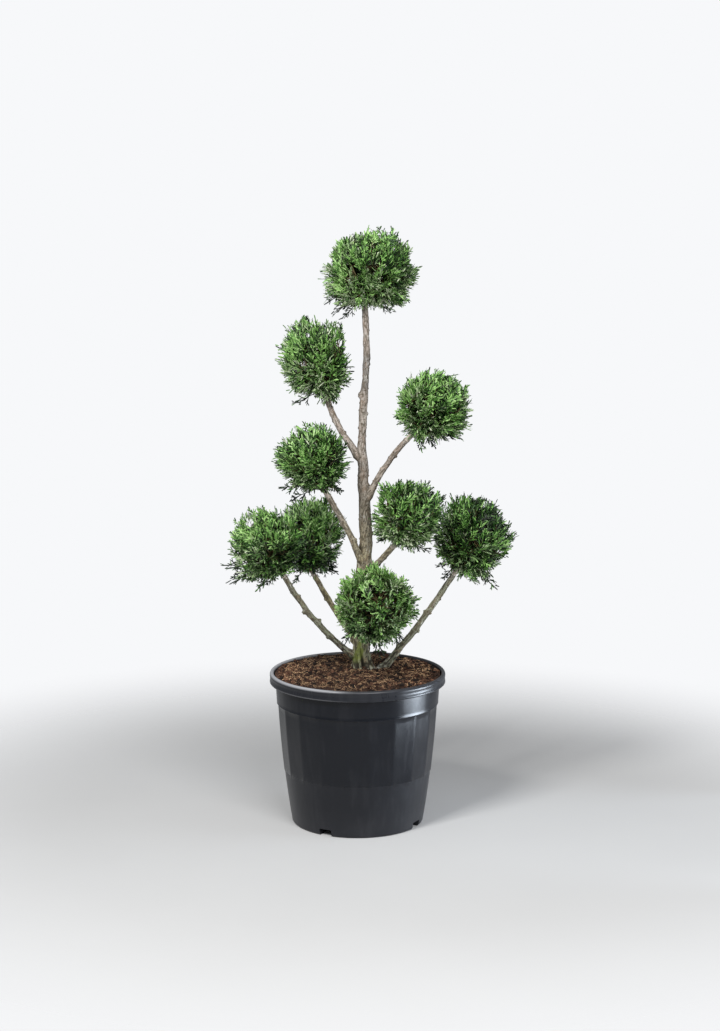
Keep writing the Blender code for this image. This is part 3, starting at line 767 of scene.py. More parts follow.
def green_finish(name, colour):
    """One plain green of the scale foliage, with faint mottling and the relief of its scales."""
    finish = Finish("foliage_" + name, Specular_IOR_Level=0.42)
    place = finish.place()
    mottle = finish.mottle(place, 260.0, 2.0)
    scales = finish.node("ShaderNodeTexVoronoi", None, {"Vector": place, "Scale": 700.0})
    dull = tuple(channel * 0.80 for channel in colour)
    finish.drive("Base Color", finish.mixed(finish.ramped(mottle, 0.36, 0.62), dull, colour))
    finish.drive("Roughness", 0.34 + mottle * 0.18)
    finish.bump(1.0 - scales, 0.0005, 0.6)
    return finish.material


def floor_finish(colour):
    """Pale matte floor that fades out into the backdrop."""
    finish = Finish("floor", Roughness=0.9, Specular_IOR_Level=0.1)
    place = finish.place()
    clouds = finish.mottle(place, 2.5)
    shade = tuple(channel * 0.94 for channel in colour)
    finish.drive("Base Color", finish.mixed(clouds, shade, colour))
    away = finish.node("ShaderNodeVectorMath", {"operation": "LENGTH"}, {0: place}, "Value")
    clear = finish.node("ShaderNodeBsdfTransparent")
    solid = Value(finish, finish.shader.outputs[0])
    fading = finish.node("ShaderNodeMixShader", None, {0: finish.ramped(away, 0.55, 1.5), 1: solid, 2: clear})
    output = finish.material.node_tree.nodes["Material Output"]
    finish.feed(output.inputs["Surface"], fading)
    return finish.material


def placed(name, data):
    """An object of a mesh, a lamp or a camera, at the origin of the scene."""
    made = bpy.data.objects.new(name, data)
    bpy.context.scene.collection.objects.link(made)
    return made


def new_mesh(name, points, faces, numbers, finishes):
    """A mesh of several finishes, with the number of each face's own."""
    mesh = bpy.data.meshes.new(name)
    mesh.from_pydata(points, [], faces)
    mesh.polygons.foreach_set("material_index", numbers)
    for material in finishes:
        mesh.materials.append(material)
    return mesh


class Shape:
    """Gathers the points and faces of one piece, with the number of each face's material."""

    def __init__(self):
        self.points = []
        self.faces = []
        self.finishes = []
        self.grains = []
        self.hollows = []

    def add(self, points, faces, finish=0, bark=None):
        """Adds faces of one finish. Bark gives each point its place along the grain and how hollow it is."""
        start = len(self.points)
        self.points.extend(points)
        self.faces.extend([tuple(corner + start for corner in face) for face in faces])
        self.finishes.extend([finish] * len(faces))
        grains, hollows = bark or ([(0.0, 0.0, 0.0)] * len(points), [0.0] * len(points))
        self.grains.extend(grains)
        self.hollows.extend(hollows)

    def make(self, name, finishes, smooth_degrees=None):
        """Makes the object, placed at the origin like every node."""
        mesh = new_mesh(name, self.points, self.faces, self.finishes, finishes)
        if any(self.hollows):
            layer = mesh.attributes.new("grain", "FLOAT_VECTOR", "POINT")
            layer.data.foreach_set("vector", np.array(self.grains, np.float32).ravel())
            layer = mesh.attributes.new("hollow", "FLOAT", "POINT")
            layer.data.foreach_set("value", np.array(self.hollows, np.float32))
        if smooth_degrees:
            mesh.shade_smooth()
            mesh.set_sharp_from_angle(angle=math.radians(smooth_degrees))
        return placed(name, mesh)


def finish_piece(piece, slot, *nodes):
    """Fixes a piece to the part and hides the solids that it stands for. Its slot is not used."""
    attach(piece, BODY)
    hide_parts(*nodes)


def steps_between(low, high, steps):
    """Values at even steps from one value to another, with both."""
    return [low + (high - low) * i / steps for i in range(steps + 1)]


def circle(radius, count):
    """Points round a circle, as x and y."""
    turns = [2 * math.pi * i / count for i in range(count)]
    return [(radius * math.cos(turn), radius * math.sin(turn)) for turn in turns]


def ring_faces(start, count, rings):
    """Faces between rings of points that follow each other."""
    faces = []
    for ring in range(rings - 1):
        low = start + ring * count
        for i in range(count):
            j = (i + 1) % count
            faces.append((low + i, low + j, low + count + j, low + count + i))
    return faces


def wall_radius(z):
    """Outer radius of the round wall of the pot at a height."""
    return WALL_FOOT_RADIUS + WALL_SLOPE * z - WALL_EASE * z * z


def panel_share(angle):
    """A polygon of flat panels: 1 at a panel's middle and more at its edges."""
    half = math.pi / PANEL_COUNT
    return 1 / math.cos((angle + half) % (2 * half) - half)


def arc(centre_r, centre_z, radius_r, radius_z, start, end, steps):
    """Points of a profile on an arc between two angles in degrees."""
    turns = [math.radians(start + (end - start) * i / steps) for i in range(steps + 1)]
    return [(centre_r + radius_r * math.cos(a), centre_z + radius_z * math.sin(a)) for a in turns]


def pot_profile():
    """The pot's outline from the underside, round the rim and down to the floor.

    A third value is the share by which a ring follows the flat panels.
    """
    profile = [(RECESS_INNER_RADIUS, 0.0), (RECESS_INNER_RADIUS + RECESS_DEPTH, RECESS_DEPTH)]
    profile += [(RECESS_OUTER_RADIUS - RECESS_DEPTH, RECESS_DEPTH), (RECESS_OUTER_RADIUS, 0.0)]
    foot_width = wall_radius(FOOT_LIFT) - POT_FOOT_RADIUS
    profile += arc(POT_FOOT_RADIUS, FOOT_LIFT, foot_width, FOOT_LIFT, -90, 0, 5)
    profile += [(wall_radius(z), z) for z in steps_between(FOOT_LIFT, PANEL_LOW_Z - 0.001, 12)[1:]]
    panels = steps_between(PANEL_LOW_Z, PANEL_HIGH_Z, 14)
    profile += [(wall_radius(z) - PANEL_SINK, z, 1.0) for z in panels]
    profile += [(wall_radius(PANEL_HIGH_Z) + 0.0006, PANEL_HIGH_Z + 0.0012, 0.6)]
    profile += arc(COLLAR_LOW_RADIUS - 0.0006, COLLAR_LOW_Z, COLLAR_ROUND, COLLAR_ROUND, -60, 30, 3)
    for i in range(1, COLLAR_STEPS + 1):
        share = i / COLLAR_STEPS
        radius = COLLAR_LOW_RADIUS + (COLLAR_HIGH_RADIUS - COLLAR_LOW_RADIUS) * share
        profile.append((radius, COLLAR_LOW_Z + (RIM_LOW_Z - COLLAR_LOW_Z - 0.0006) * share))
    profile += [(COLLAR_HIGH_RADIUS + 0.0012, RIM_LOW_Z)]
    profile += arc(RIM_RADIUS - RIM_LIP, RIM_LOW_Z + RIM_LIP, RIM_LIP, RIM_LIP, -90, 0, 5)
    band_low, band_high = RIM_LOW_Z + RIM_LIP + 0.0015, POT_HEIGHT - 0.0072
    for i in range(BAND_STEPS + 1):
        share = i / BAND_STEPS
        hollow = BAND_HOLLOW * math.sin(math.pi * share)
        profile.append((RIM_RADIUS - 0.0001 - hollow, band_low + (band_high - band_low) * share))
    roll_r, roll_z = RIM_RADIUS - RIM_ROLL_WIDTH, POT_HEIGHT - RIM_ROLL_HEIGHT
    profile += arc(roll_r, roll_z, RIM_ROLL_WIDTH, RIM_ROLL_HEIGHT, 5, 175, 12)
    profile += [(RIM_INNER_RADIUS - 0.0002, POT_HEIGHT - 0.0110)]
    profile += [(RIM_INNER_RADIUS - 0.0018, RIM_LOW_Z + 0.004)]
    middle = (PANEL_LOW_Z + PANEL_HIGH_Z) / 2
    profile += [(wall_radius(RIM_LOW_Z) - WALL, RIM_LOW_Z - 0.004), (wall_radius(middle) - WALL, middle)]
    profile += [(wall_radius(FLOOR_THICKNESS) - WALL, FLOOR_THICKNESS)]
    return profile


def panel_angles():
    """Angles round the pot, close together at the panels' rounded edges."""
    half = 180 / PANEL_COUNT
    middles = [2 * half * panel for panel in range(PANEL_COUNT)]
    return [math.radians(middle + half * step) for middle in middles for step in PANEL_STEPS]


def make_pot(settings):
    angles = panel_angles()
    count = len(angles)
    shape = Shape()
    points = []
    profile = pot_profile()
    for radius, z, *flat in profile:
        follow = flat[0] if flat else 0.0
        for i, angle in enumerate(angles):
            edge = PANEL_EDGE_ROUND if i % len(PANEL_STEPS) == 0 else 0.0
            share = 1 + (panel_share(angle) - 1 - edge) * follow
            points.append((radius * share * math.cos(angle), radius * share * math.sin(angle), z))
    faces = ring_faces(0, count, len(profile))
    last = (len(profile) - 1) * count
    faces.append(tuple(range(count - 1, -1, -1)))
    faces.append(tuple(range(last, last + count)))
    shape.add(points, faces)
    pot = shape.make("nursery_pot", [plastic_finish(settings)])
    cut_notches(pot)
    pot.data.shade_smooth()
    pot.data.set_sharp_from_angle(angle=math.radians(POT_SMOOTH_DEGREES))
    finish_piece(pot, "pot_plastic", "pot")


def cut_notches(pot):
    """The four drain notches in the foot."""
    shape = bmesh.new()
    for degrees in NOTCH_ANGLES:
        made = bmesh.ops.create_cube(shape, size=1.0)["verts"]
        size = (NOTCH_WIDTH, NOTCH_DEPTH + CUTTER_OVERSHOOT, 2 * NOTCH_HEIGHT)
        bmesh.ops.scale(shape, vec=size, verts=made)
        middle = WALL_FOOT_RADIUS + (CUTTER_OVERSHOOT - NOTCH_DEPTH) / 2
        bmesh.ops.translate(shape, vec=(0.0, -middle, 0.0), verts=made)
        bmesh.ops.rotate(shape, matrix=Matrix.Rotation(math.radians(degrees), 3, "Z"), verts=made)
    level = [edge for edge in shape.edges if abs((edge.verts[0].co - edge.verts[1].co).z) < 0.001]
    top = [edge for edge in level if edge.verts[0].co.z > 0]
    bmesh.ops.bevel(shape, geom=top, offset=NOTCH_ROUND, segments=3, profile=0.5, affect="EDGES")
    mesh = bpy.data.meshes.new("notches")
    shape.to_mesh(mesh)
    shape.free()
    cutter = placed("notches", mesh)
    cut = pot.modifiers.new("notches", "BOOLEAN")
    cut.object = cutter
    cut.solver = "EXACT"
    graph = bpy.context.evaluated_depsgraph_get()
    result = bpy.data.meshes.new_from_object(pot.evaluated_get(graph))
    pot.modifiers.clear()
    pot.data = result
    bpy.data.objects.remove(cutter, do_unlink=True)


def soil_height(x, y, relief):
    """Height of the compost at a place: the solid's mound with lumps and crumbs on it."""
    away = math.hypot(x, y)
    middle_radius = (SOIL_LEVEL_RADIUS + SOIL_EDGE_RADIUS) / 2
    middle_z = SOIL_EDGE_Z * 0.35 + SOIL_MIDDLE_Z * 0.65
    height = float(np.interp(
        away,
        (0.0, SOIL_LEVEL_RADIUS * 0.8, middle_radius, SOIL_EDGE_RADIUS),
        (SOIL_MIDDLE_Z + 0.001, SOIL_MIDDLE_Z, middle_z, SOIL_EDGE_Z + 0.0045),
    )) + SOIL_SURFACE_RISE
    crumbs = sum(noise.noise(Vector((x * pitch, y * pitch, layer))) * high for pitch, layer, high in CRUMBS)
    fade = 1 - 0.6 * max(0.0, (away - 0.150) / 0.02)
    return height + relief * crumbs * fade


def make_compost(settings):
    relief = settings.relief
    fines = tuple(settings.fines)
    rings, count = BED_RINGS, BED_SIDES
    points = [(0.0, 0.0, soil_height(0.0, 0.0, relief))]
    for ring in range(1, rings + 1):
        radius = SOIL_EDGE_RADIUS * (ring / rings) ** 0.85
        points += [(x, y, soil_height(x, y, relief)) for x, y in circle(radius, count)]
    middle = (PANEL_LOW_Z + PANEL_HIGH_Z) / 2
    inset = WALL + BED_CLEARANCE
    sides = [(SOIL_EDGE_RADIUS, RIM_LOW_Z + 0.002), (wall_radius(RIM_LOW_Z) - inset, RIM_LOW_Z - 0.004)]
    sides += [(wall_radius(middle) - inset, middle)]
    sides += [(wall_radius(FLOOR_THICKNESS) - inset, FLOOR_THICKNESS + 0.0004)]
    for radius, z in sides:
        points += [(x, y, z) for x, y in circle(radius, count)]
    faces = [(0, 1 + i, 1 + (i + 1) % count) for i in range(count)]
    faces += [tuple(reversed(face)) for face in ring_faces(1, count, rings + len(sides))]
    last = 1 + (rings + len(sides) - 1) * count
    faces.append(tuple(range(last + count - 1, last - 1, -1)))
    shape = Shape()
    shape.add(points, faces)
    bed = shape.make("compost_bed", [compost_finish("compost_fines", fines, 0.30)], 60)
    finish_piece(bed, "compost", "compost")
    make_chips(settings)
    make_fibres(settings)


def scattered(rng, most=SOIL_EDGE_RADIUS - 0.004):
    """A place on the compost, clear of the trunk."""
    while True:
        angle, radius = rng.uniform(0, 2 * math.pi), most * math.sqrt(rng.random())
        x, y = radius * math.cos(angle), radius * math.sin(angle)
        if math.hypot(x - TRUNK_X, y - TRUNK_Y) > CLEAR_OF_TRUNK:
            return x, y


def make_chips(settings):
    """Bark chips and crumbs that lie on the compost, in three browns dealt out by chip."""
    rng = random.Random(CHIP_SEED)
    square = ((-1, -1), (1, -1), (1, 1), (-1, 1))
    cube = [(x, y, z) for z in (-1, 1) for x, y in square]
    faces = [(3, 2, 1, 0), (4, 5, 6, 7), (0, 1, 5, 4), (1, 2, 6, 5), (2, 3, 7, 6), (3, 0, 4, 7)]
    shape = Shape()

    def add_chip(x, y, size, tone):
        turn = Matrix.Rotation(rng.uniform(0, 2 * math.pi), 3, "Z")
        tip = Matrix.Rotation(rng.gauss(0, 0.45), 3, "X") @ Matrix.Rotation(rng.gauss(0, 0.35), 3, "Y")
        middle = Vector((x, y, soil_height(x, y, settings.relief) + size[2] * 0.35))
        corners = []
        for corner in cube:
            ragged = Vector(corner) * 0.5 + Vector([rng.uniform(-CHIP_RAGGED, CHIP_RAGGED) for _ in range(3)])
            corners.append(tuple(middle + turn @ tip @ Vector([a * b for a, b in zip(ragged, size)])))
        shape.add(corners, faces, tone)

    for _ in range(settings.chips):
        x, y = scattered(rng)
        length = CHIP_LEAST + CHIP_MORE * rng.random() ** 4
        tone = rng.choice(CHIP_TONES)
        add_chip(x, y, (length, length * rng.uniform(0.5, 0.9), length * rng.uniform(0.3, 0.7)), tone)
    lump_x, lump_y = LUMP_PLACE
    for _ in range(LUMP_CHIPS):
        add_chip(
            lump_x + rng.gauss(0, 0.0055), lump_y + rng.gauss(0, 0.0035),
            (0.009, rng.uniform(0.004, 0.007), rng.uniform(0.004, 0.009)), 1,
        )
    finishes = [compost_finish(f"chip_{i}", linear(*brown), 0.5) for i, brown in enumerate(CHIP_BROWNS)]
    chips = shape.make("compost_chips", finishes, 40)
    finish_piece(chips, "compost", "compost")


def rods(paths, radii, sides):
    """Thin tapering rods, one for each row of points, as points and faces."""
    paths, radii = np.asarray(paths, float), np.asarray(radii, float)
    number, steps = paths.shape[:2]
    way = paths[:, -1] - paths[:, 0]
    way /= np.linalg.norm(way, axis=1, keepdims=True) + 1e-12
    beside = np.where(np.abs(way[:, 2:]) < 0.9, [[0.0, 0.0, 1.0]], [[1.0, 0.0, 0.0]])
    across = np.cross(way, beside)
    across /= np.linalg.norm(across, axis=1, keepdims=True)
    beside = np.cross(way, across)
    turns = 2 * np.pi * np.arange(sides) / sides
    ring = across[:, None] * np.cos(turns)[None, :, None] + beside[:, None] * np.sin(turns)[None, :, None]
    points = paths[:, :, None] + ring[:, None] * radii[:, :, None, None]
    faces = ring_faces(0, sides, steps)
    faces = [tuple(reversed(face)) for face in faces]
    caps = [tuple(range(sides)), tuple(reversed(range((steps - 1) * sides, steps * sides)))]
    every = []
    for i in range(number):
        start = i * steps * sides
        every += [tuple(corner + start for corner in face) for face in faces + caps]
    return [tuple(point) for point in points.reshape(-1, 3)], every


def make_fibres(settings):
    """Coir fibres and a hooked dead twig on the compost."""
    rng = random.Random(FIBRE_SEED)
    paths, radii = [], []
    for number in range(settings.fibres):
        x, y = scattered(rng, SOIL_EDGE_RADIUS - 0.012)
        heading = rng.uniform(0, 2 * math.pi)
        length = rng.uniform(*FIBRE_LENGTH)
        curl = rng.gauss(0, 1.2)
        path = []
        for step in range(FIBRE_STEPS + 1):
            share = step / FIBRE_STEPS
            lift = 0.0004 + 0.0030 * rng.random() * math.sin(math.pi * share)
            path.append((x, y, soil_height(x, y, settings.relief) + lift))
            x += math.cos(heading) * length / FIBRE_STEPS
            y += math.sin(heading) * length / FIBRE_STEPS
            heading += curl / FIBRE_STEPS
        stout = number % STOUT_FIBRE_EVERY == 0
        thick = STOUT_FIBRE_RADIUS if stout else rng.uniform(*FIBRE_RADIUS)
        paths.append(path)
        radii.append([thick, thick, thick, thick * 0.9, thick * 0.5])
    paths.append([(x, y, SOIL_MIDDLE_Z + rise) for (x, y), rise in zip(HOOKED_PLACES, HOOKED_RISES)])
    radii.append(HOOKED_RADII)
    shape = Shape()
    shape.add(*rods(paths, radii, 3))
    fibres = shape.make("compost_fibres", [compost_finish("fibre", linear(*COIR), 0.6)], 60)
    finish_piece(fibres, "compost", "compost")


def trunk_middle(z):
    """The trunk's centre line at a height."""
    turn = 2 * math.pi * (z - TRUNK_WAVE_Z) / TRUNK_WAVE
    sideways = TRUNK_SWAY * math.sin(turn) + TRUNK_LEAN * (z - TRUNK_LEAN_Z)
    back = TRUNK_SWAY * math.sin(turn * BACK_WAVE_SHARE + BACK_WAVE_TURN)
    return Vector((TRUNK_X + sideways, TRUNK_Y + back, z))


def trunk_radius(z):
    heights, widths = zip(*TRUNK_GIRTH)
    flare = FLARE_RADIUS * math.exp(-(z - SOIL_MIDDLE_Z) / FLARE_HEIGHT)
    return float(np.interp(z, heights, widths)) + flare


def limb_point(limb, share):
    foot, tip, bow = Vector(limb.foot), Vector(limb.tip), Vector(limb.bow)
    return foot.lerp(tip, share) + bow * (4 * share * (1 - share))


def limb_radius(limb, share):
    taper = limb.foot_radius + (limb.tip_radius - limb.foot_radius) * share
    return taper * (1 + FOOT_SWELL * math.exp(-share * FOOT_SWELL_FADE))


def bark_relief(around, along, radius, seed):
    """How far the bark stands out at an angle and a length: plates between furrows, and fine strings.

    The first value is in units of the relief, and the second a slow swell as a share of the radius.
    """
    x, y = math.cos(around) * radius, math.sin(around) * radius

    def grain(pitch, shift):
        return noise.noise(Vector((x * pitch[0], y * pitch[0], along * pitch[1] + shift)))

    plate = grain(PLATE_PITCH, seed)
    string = grain(STRING_PITCH, seed * 3)
    furrow = max(0.0, 1 - abs(plate) * FURROW_STEEPNESS)
    bark = PLATE_RISE * plate + STRING_RISE * string - FURROW_DEPTH * furrow
    return bark, grain(SWELL_PITCH, -seed) * SLOW_SWELL


def rooted(out, bark, around, along, up):
    """A point of the trunk's foot, moved by the root ridges and the grooves between them. The grooves also
    deepen the painted shade of its bark.
    """
    turned = around + ROOT_TWIST * up + 0.35 * math.sin(2 * around + 1.0)
    ridge = math.cos(ROOT_RIDGES * turned)
    groove = math.exp(-((up / ROOT_REACH) ** 2) * 0.5) * max(0.0, -ridge) ** 1.6
    out *= 1 + RIDGE_RISE * math.exp(-up / RIDGE_REACH) * max(0.0, ridge) - GROOVE_DEPTH * groove
    out *= 1 + FLUTE_RISE * math.exp(-up / FLUTE_REACH) * math.cos(FLUTES * around + along * 14)
    return out, bark - GROOVE_SHADE * groove


def scarred(out, height, away):
    """A point near a scar, moved by its knob, its raised ring and the dimple in it."""
    knob = 1 / (1 + away ** 6)
    ring = math.exp(-((away - SCAR_RING_AT) / SCAR_RING_WIDTH) ** 2)
    swell = math.exp(-away * away / 2.2)
    out += height * (knob * SCAR_KNOB_RISE + SCAR_RING_RISE * ring * knob + SCAR_SWELL_RISE * swell)
    return out - height * SCAR_DIMPLE_DEPTH * math.exp(-(away / SCAR_DIMPLE_WIDTH) ** 2)


def wood_shape(points, radii, sides, seed, relief, scars, root=False):
    """A limb with bark, through the points. A scar is a ring-edged knob that a pruned shoot left."""
    rings, grain, hollows = [], [], []
    heading = (points[1] - points[0]).normalized()
    front = Vector((0.0, -1.0, 0.0))
    across = (front - heading * front.dot(heading)).normalized()
    along = 0.0
    for i, (point, radius) in enumerate(zip(points, radii)):
        ahead, behind = points[min(i + 1, len(points) - 1)], points[max(i - 1, 0)]
        new_heading = (ahead - behind).normalized()
        across = heading.rotation_difference(new_heading) @ across
        heading = new_heading
        beside = heading.cross(across)
        along += (point - behind).length
        close = [(scar, spot) for scar, spot in scars if abs(along - spot) < SCAR_REACH * scar.radius]
        for k in range(sides):
            around = 2 * math.pi * k / sides
            bark, swell = bark_relief(around, along, radius, seed)
            out = radius * (1 + swell) + relief * bark
            if root:
                out, bark = rooted(out, bark, around, along, max(point.z - SOIL_MIDDLE_Z, 0.0))
            for scar, spot in close:
                turn = (around - math.radians(scar.turn) + math.pi) % (2 * math.pi) - math.pi
                away = math.hypot(turn * radius, along - spot) / scar.radius
                if away < SCAR_REACH:
                    out = scarred(out, scar.height, away)
            rings.append(tuple(point + (across * math.cos(around) + beside * math.sin(around)) * out))
            grain.append((math.cos(around) * radius, math.sin(around) * radius, along + seed * 0.37))
            # How hollow the bark is at each point, which its finish paints as shade in the furrows.
            hollows.append(max(0.001, 0.35 - bark * 0.6))
    faces = ring_faces(0, sides, len(points))
    last = (len(points) - 1) * sides
    faces.append(tuple(range(sides - 1, -1, -1)))
    faces.append(tuple(range(last, last + sides)))
    return rings, faces, (grain, hollows)


def kinked(points, seed):
    """The points of a centre line, moved aside by the slight kinks between its nodes."""
    # Without a seed, noise_vector takes its offsets from the clock.
    noise.seed_set(KINK_SEED)
    moved, along = [], 0.0
    for i, point in enumerate(points):
        along += (point - points[max(i - 1, 0)]).length
        ease = min(1.0, along / 0.02, (len(points) - 1 - i) * RING_STEP / 0.02)
        place = Vector((along * KINK_PITCH, seed * 7.7, 0.0))
        moved.append(point + noise.noise_vector(place) * (KINK * ease))
    return moved


def nubs(length, seed):
    """The small nubs of old leaves, scattered along a limb, each with its place along it."""
    rng = random.Random(seed)
    found = []
    for _ in range(round(length / NUB_STEP)):
        nub = Scar(0, rng.uniform(0, 360), rng.uniform(*NUB_RADIUS), rng.uniform(*NUB_HEIGHT))
        found.append((nub, rng.uniform(0, length)))
    return found


def make_wood(settings):
    bark = bark_finish("bark", settings.low_bark, settings)
    dark_bark = bark_finish("dark_bark", settings.dark_bark, settings)
    relief = settings.relief
    foot_z = SOIL_MIDDLE_Z - BURIED
    length = TRUNK_TOP_Z - foot_z
    steps = round(length / RING_STEP)
    heights = steps_between(foot_z, TRUNK_TOP_Z, steps)
    points = kinked([trunk_middle(z) for z in heights], 1.0)
    radii = [trunk_radius(max(z, SOIL_MIDDLE_Z)) for z in heights]
    scars = [(scar, scar.at - foot_z) for scar in SCARS["trunk"]] + nubs(length, 1)
    shape = Shape()
    rings, faces, grain = wood_shape(points, radii, TRUNK_SIDES, 2.0, relief, scars, True)
    shape.add(rings, faces, 0, grain)
    finish_piece(shape.make("bare_trunk", [bark], BARK_SMOOTH_DEGREES), "bark", "trunk")
    for seed, (name, limb) in enumerate(LIMBS.items(), 5):
        make_limb(name, limb, seed, dark_bark if name in DARK_LIMBS else bark, relief)


def make_limb(name, limb, seed, bark, relief):
    length = (Vector(limb.tip) - Vector(limb.foot)).length
    steps = round(length / RING_STEP)
    shares = [i / steps for i in range(steps + 1)]
    points = [limb_point(limb, share) for share in shares]
    radii = []
    for point, share in zip(points, shares):
        if limb.foot[2] < SOIL_MIDDLE_Z:
            collar = 0.5 * math.exp(-max(point.z - SOIL_MIDDLE_Z, 0.0) / COLLAR_REACH)
            radii.append(limb_radius(limb, share) * (1 + collar))
            continue
        trunk = trunk_radius(point.z)
        out_of_trunk = (point - trunk_middle(point.z)).length - trunk
        collar = COLLAR_SWELL * math.exp(-abs(out_of_trunk) / COLLAR_REACH)
        inside = trunk * 0.80 + max(out_of_trunk + trunk, 0.0) * 0.9
        radii.append(min(limb_radius(limb, share) * (1 + collar), inside))
    points = kinked(points, seed)
    scars = [(scar, scar.at * length) for scar in SCARS[name]] + nubs(length, seed)
    shape = Shape()
    rings, faces, grain = wood_shape(points, radii, LIMB_SIDES, float(seed), relief * LIMB_RELIEF, scars)
    shape.add(rings, faces, 0, grain)
    bare = shape.make("bare_limb_" + name, [bark], BARK_SMOOTH_DEGREES)
    finish_piece(bare, "bark", "limb_" + name)


def ball_frame(ball):
    """Carries a unit sphere onto the ball's clipped surface."""
    lean = Matrix.Rotation(math.radians(ball.lean), 4, "Y")
    return Matrix.Translation(ball.centre) @ lean @ Matrix.Diagonal((*ball.reach, 1.0))


def even_directions(count, rng):
    """Directions spread evenly over a sphere, each moved a little."""
    golden = math.pi * (3 - math.sqrt(5))
    for i in range(count):
        z = 1 - 2 * (i + 0.5) / count
        flat = math.sqrt(1 - z * z)
        even = Vector((flat * math.cos(golden * i), flat * math.sin(golden * i), z))
        yield (even + random_offset(rng, SPRAY_JITTER)).normalized()


def random_offset(rng, most):
    return Vector((rng.uniform(-1, 1), rng.uniform(-1, 1), rng.uniform(-1, 1))) * most


def tip_of_wood(name):
    """Where a ball's limb or the trunk ends, the way that it points there and its radius."""
    if name not in LIMBS:
        tip = trunk_middle(TRUNK_TOP_Z)
        return tip, (tip - trunk_middle(TRUNK_TOP_Z - 0.02)).normalized(), trunk_radius(TRUNK_TOP_Z)
    limb = LIMBS[name]
    tip = limb_point(limb, 1.0)
    return tip, (tip - limb_point(limb, 0.89)).normalized(), limb_radius(limb, 1.0)


def lump(ball, direction, seed):
    """How far a ball's clipped surface stands out in a direction, as a share of its reach."""
    wide = noise.noise(direction * LUMP_PITCH + Vector((seed, 0, 0)))
    fine = noise.noise(direction * FINE_LUMP_PITCH + Vector((0, seed, 0)))
    turn = math.degrees(math.atan2(direction.x, direction.z)) + ball.lean
    rise = 0.0
    for tuft in ball.tufts:
        away = (turn - tuft.turn + 180) % 360 - 180
        rise += tuft.rise * math.exp(-((away / tuft.width) ** 2))
    return LUMP * wide + FINE_LUMP * fine + rise * (1 - direction.y ** 2)


def hollow_share(name, direction):
    """How far a direction lies in one of a ball's hollows, from 0 to 1."""
    most = 0.0
    for across, up in HOLLOWS[name]:
        away = math.hypot(direction.x - across, direction.z - up) / HOLLOW_WIDTH
        most = max(most, math.exp(-away * away))
    return most


def wood_samples():
    """Points along the trunk and every limb, with the radius at each."""
    heights = np.linspace(SOIL_MIDDLE_Z, TRUNK_TOP_Z, 150)
    samples = [(*trunk_middle(z), trunk_radius(z)) for z in heights]
    for limb in LIMBS.values():
        samples += [(*limb_point(limb, i / 40), limb_radius(limb, i / 40)) for i in range(41)]
    return np.array(samples)


def near_wood(points, wood):
    """Whether each point lies on a limb or the trunk, or nearer to it than the margin."""
    apart = np.linalg.norm(points[:, None] - wood[None, :, :3], axis=2)
    return (apart < wood[None, :, 3] + WOOD_MARGIN).any(axis=1)


def in_gap(points, ball, across, up, radius):
    """Whether each point lies in a gap, which runs through the ball along the photograph's line of sight."""
    middle = np.array(ball.centre) + (across, 0.0, up)
    way = unit(middle - EYE)
    apart = points - middle
    return np.linalg.norm(apart - (apart @ way)[:, None] * way, axis=1) < radius


def spray_plan(side_shoots, rng):
    """Branchlets of one flat fan in its own plane, for a spray of length 1.

    Each row gives a foot along and across, a heading from the axis, a length, a share of the full
    width and a step of lightness.
    """
    rows = []
    heading, u, v = rng.gauss(0, 0.06), 0.0, 0.0
    for width, step in SPINE:
        rows.append((u, v, heading, SPINE_LENGTH, width, step))
        u += SPINE_STRIDE * math.cos(heading)
        v += SPINE_STRIDE * math.sin(heading)
        heading += rng.gauss(0, 0.10)
    first_side = rng.choice((-1, 1))
    for number in range(side_shoots):
        side = first_side * (1 if number % 2 else -1)
        share = number / side_shoots
        heading = side * (math.radians(SIDE_OPENING - SIDE_CLOSING * share) + rng.gauss(0, 0.12))
        u, v = 0.06 + 0.98 * share + rng.gauss(0, 0.015), 0.0
        length = (SIDE_LENGTH - SIDE_SHORTENING * share) * rng.uniform(0.80, 1.20)
        rows.append((u, v, heading, length, 0.95, 0.3))
        if length > FORKED_LENGTH:
            out = side * rng.choice((-1, 1))
            for start, share in SIDE_FORKS:
                branch = heading + out * (FORK_OPENING + rng.gauss(0, 0.10))
                foot = (u + start * length * math.cos(heading), v + start * length * math.sin(heading))
                rows.append((*foot, branch, length * share * rng.uniform(0.9, 1.2), 0.85, 0.2))
                out = -out
    return np.array(rows)


# A spray runs from its foot to its tip. Its flat side looks along its face, turned by its roll about its
# length, and it is cupped by its curl. Its tone is a step of the greens, and its plan and hue are numbers.
Spray = namedtuple("Spray", "foot tip face roll curl tone plan hue")

# Columns of a branchlet's row that are read again later.
TONE, HUE = 11, 12


def unit(rows):
    return rows / (np.linalg.norm(rows, axis=-1, keepdims=True) + 1e-12)


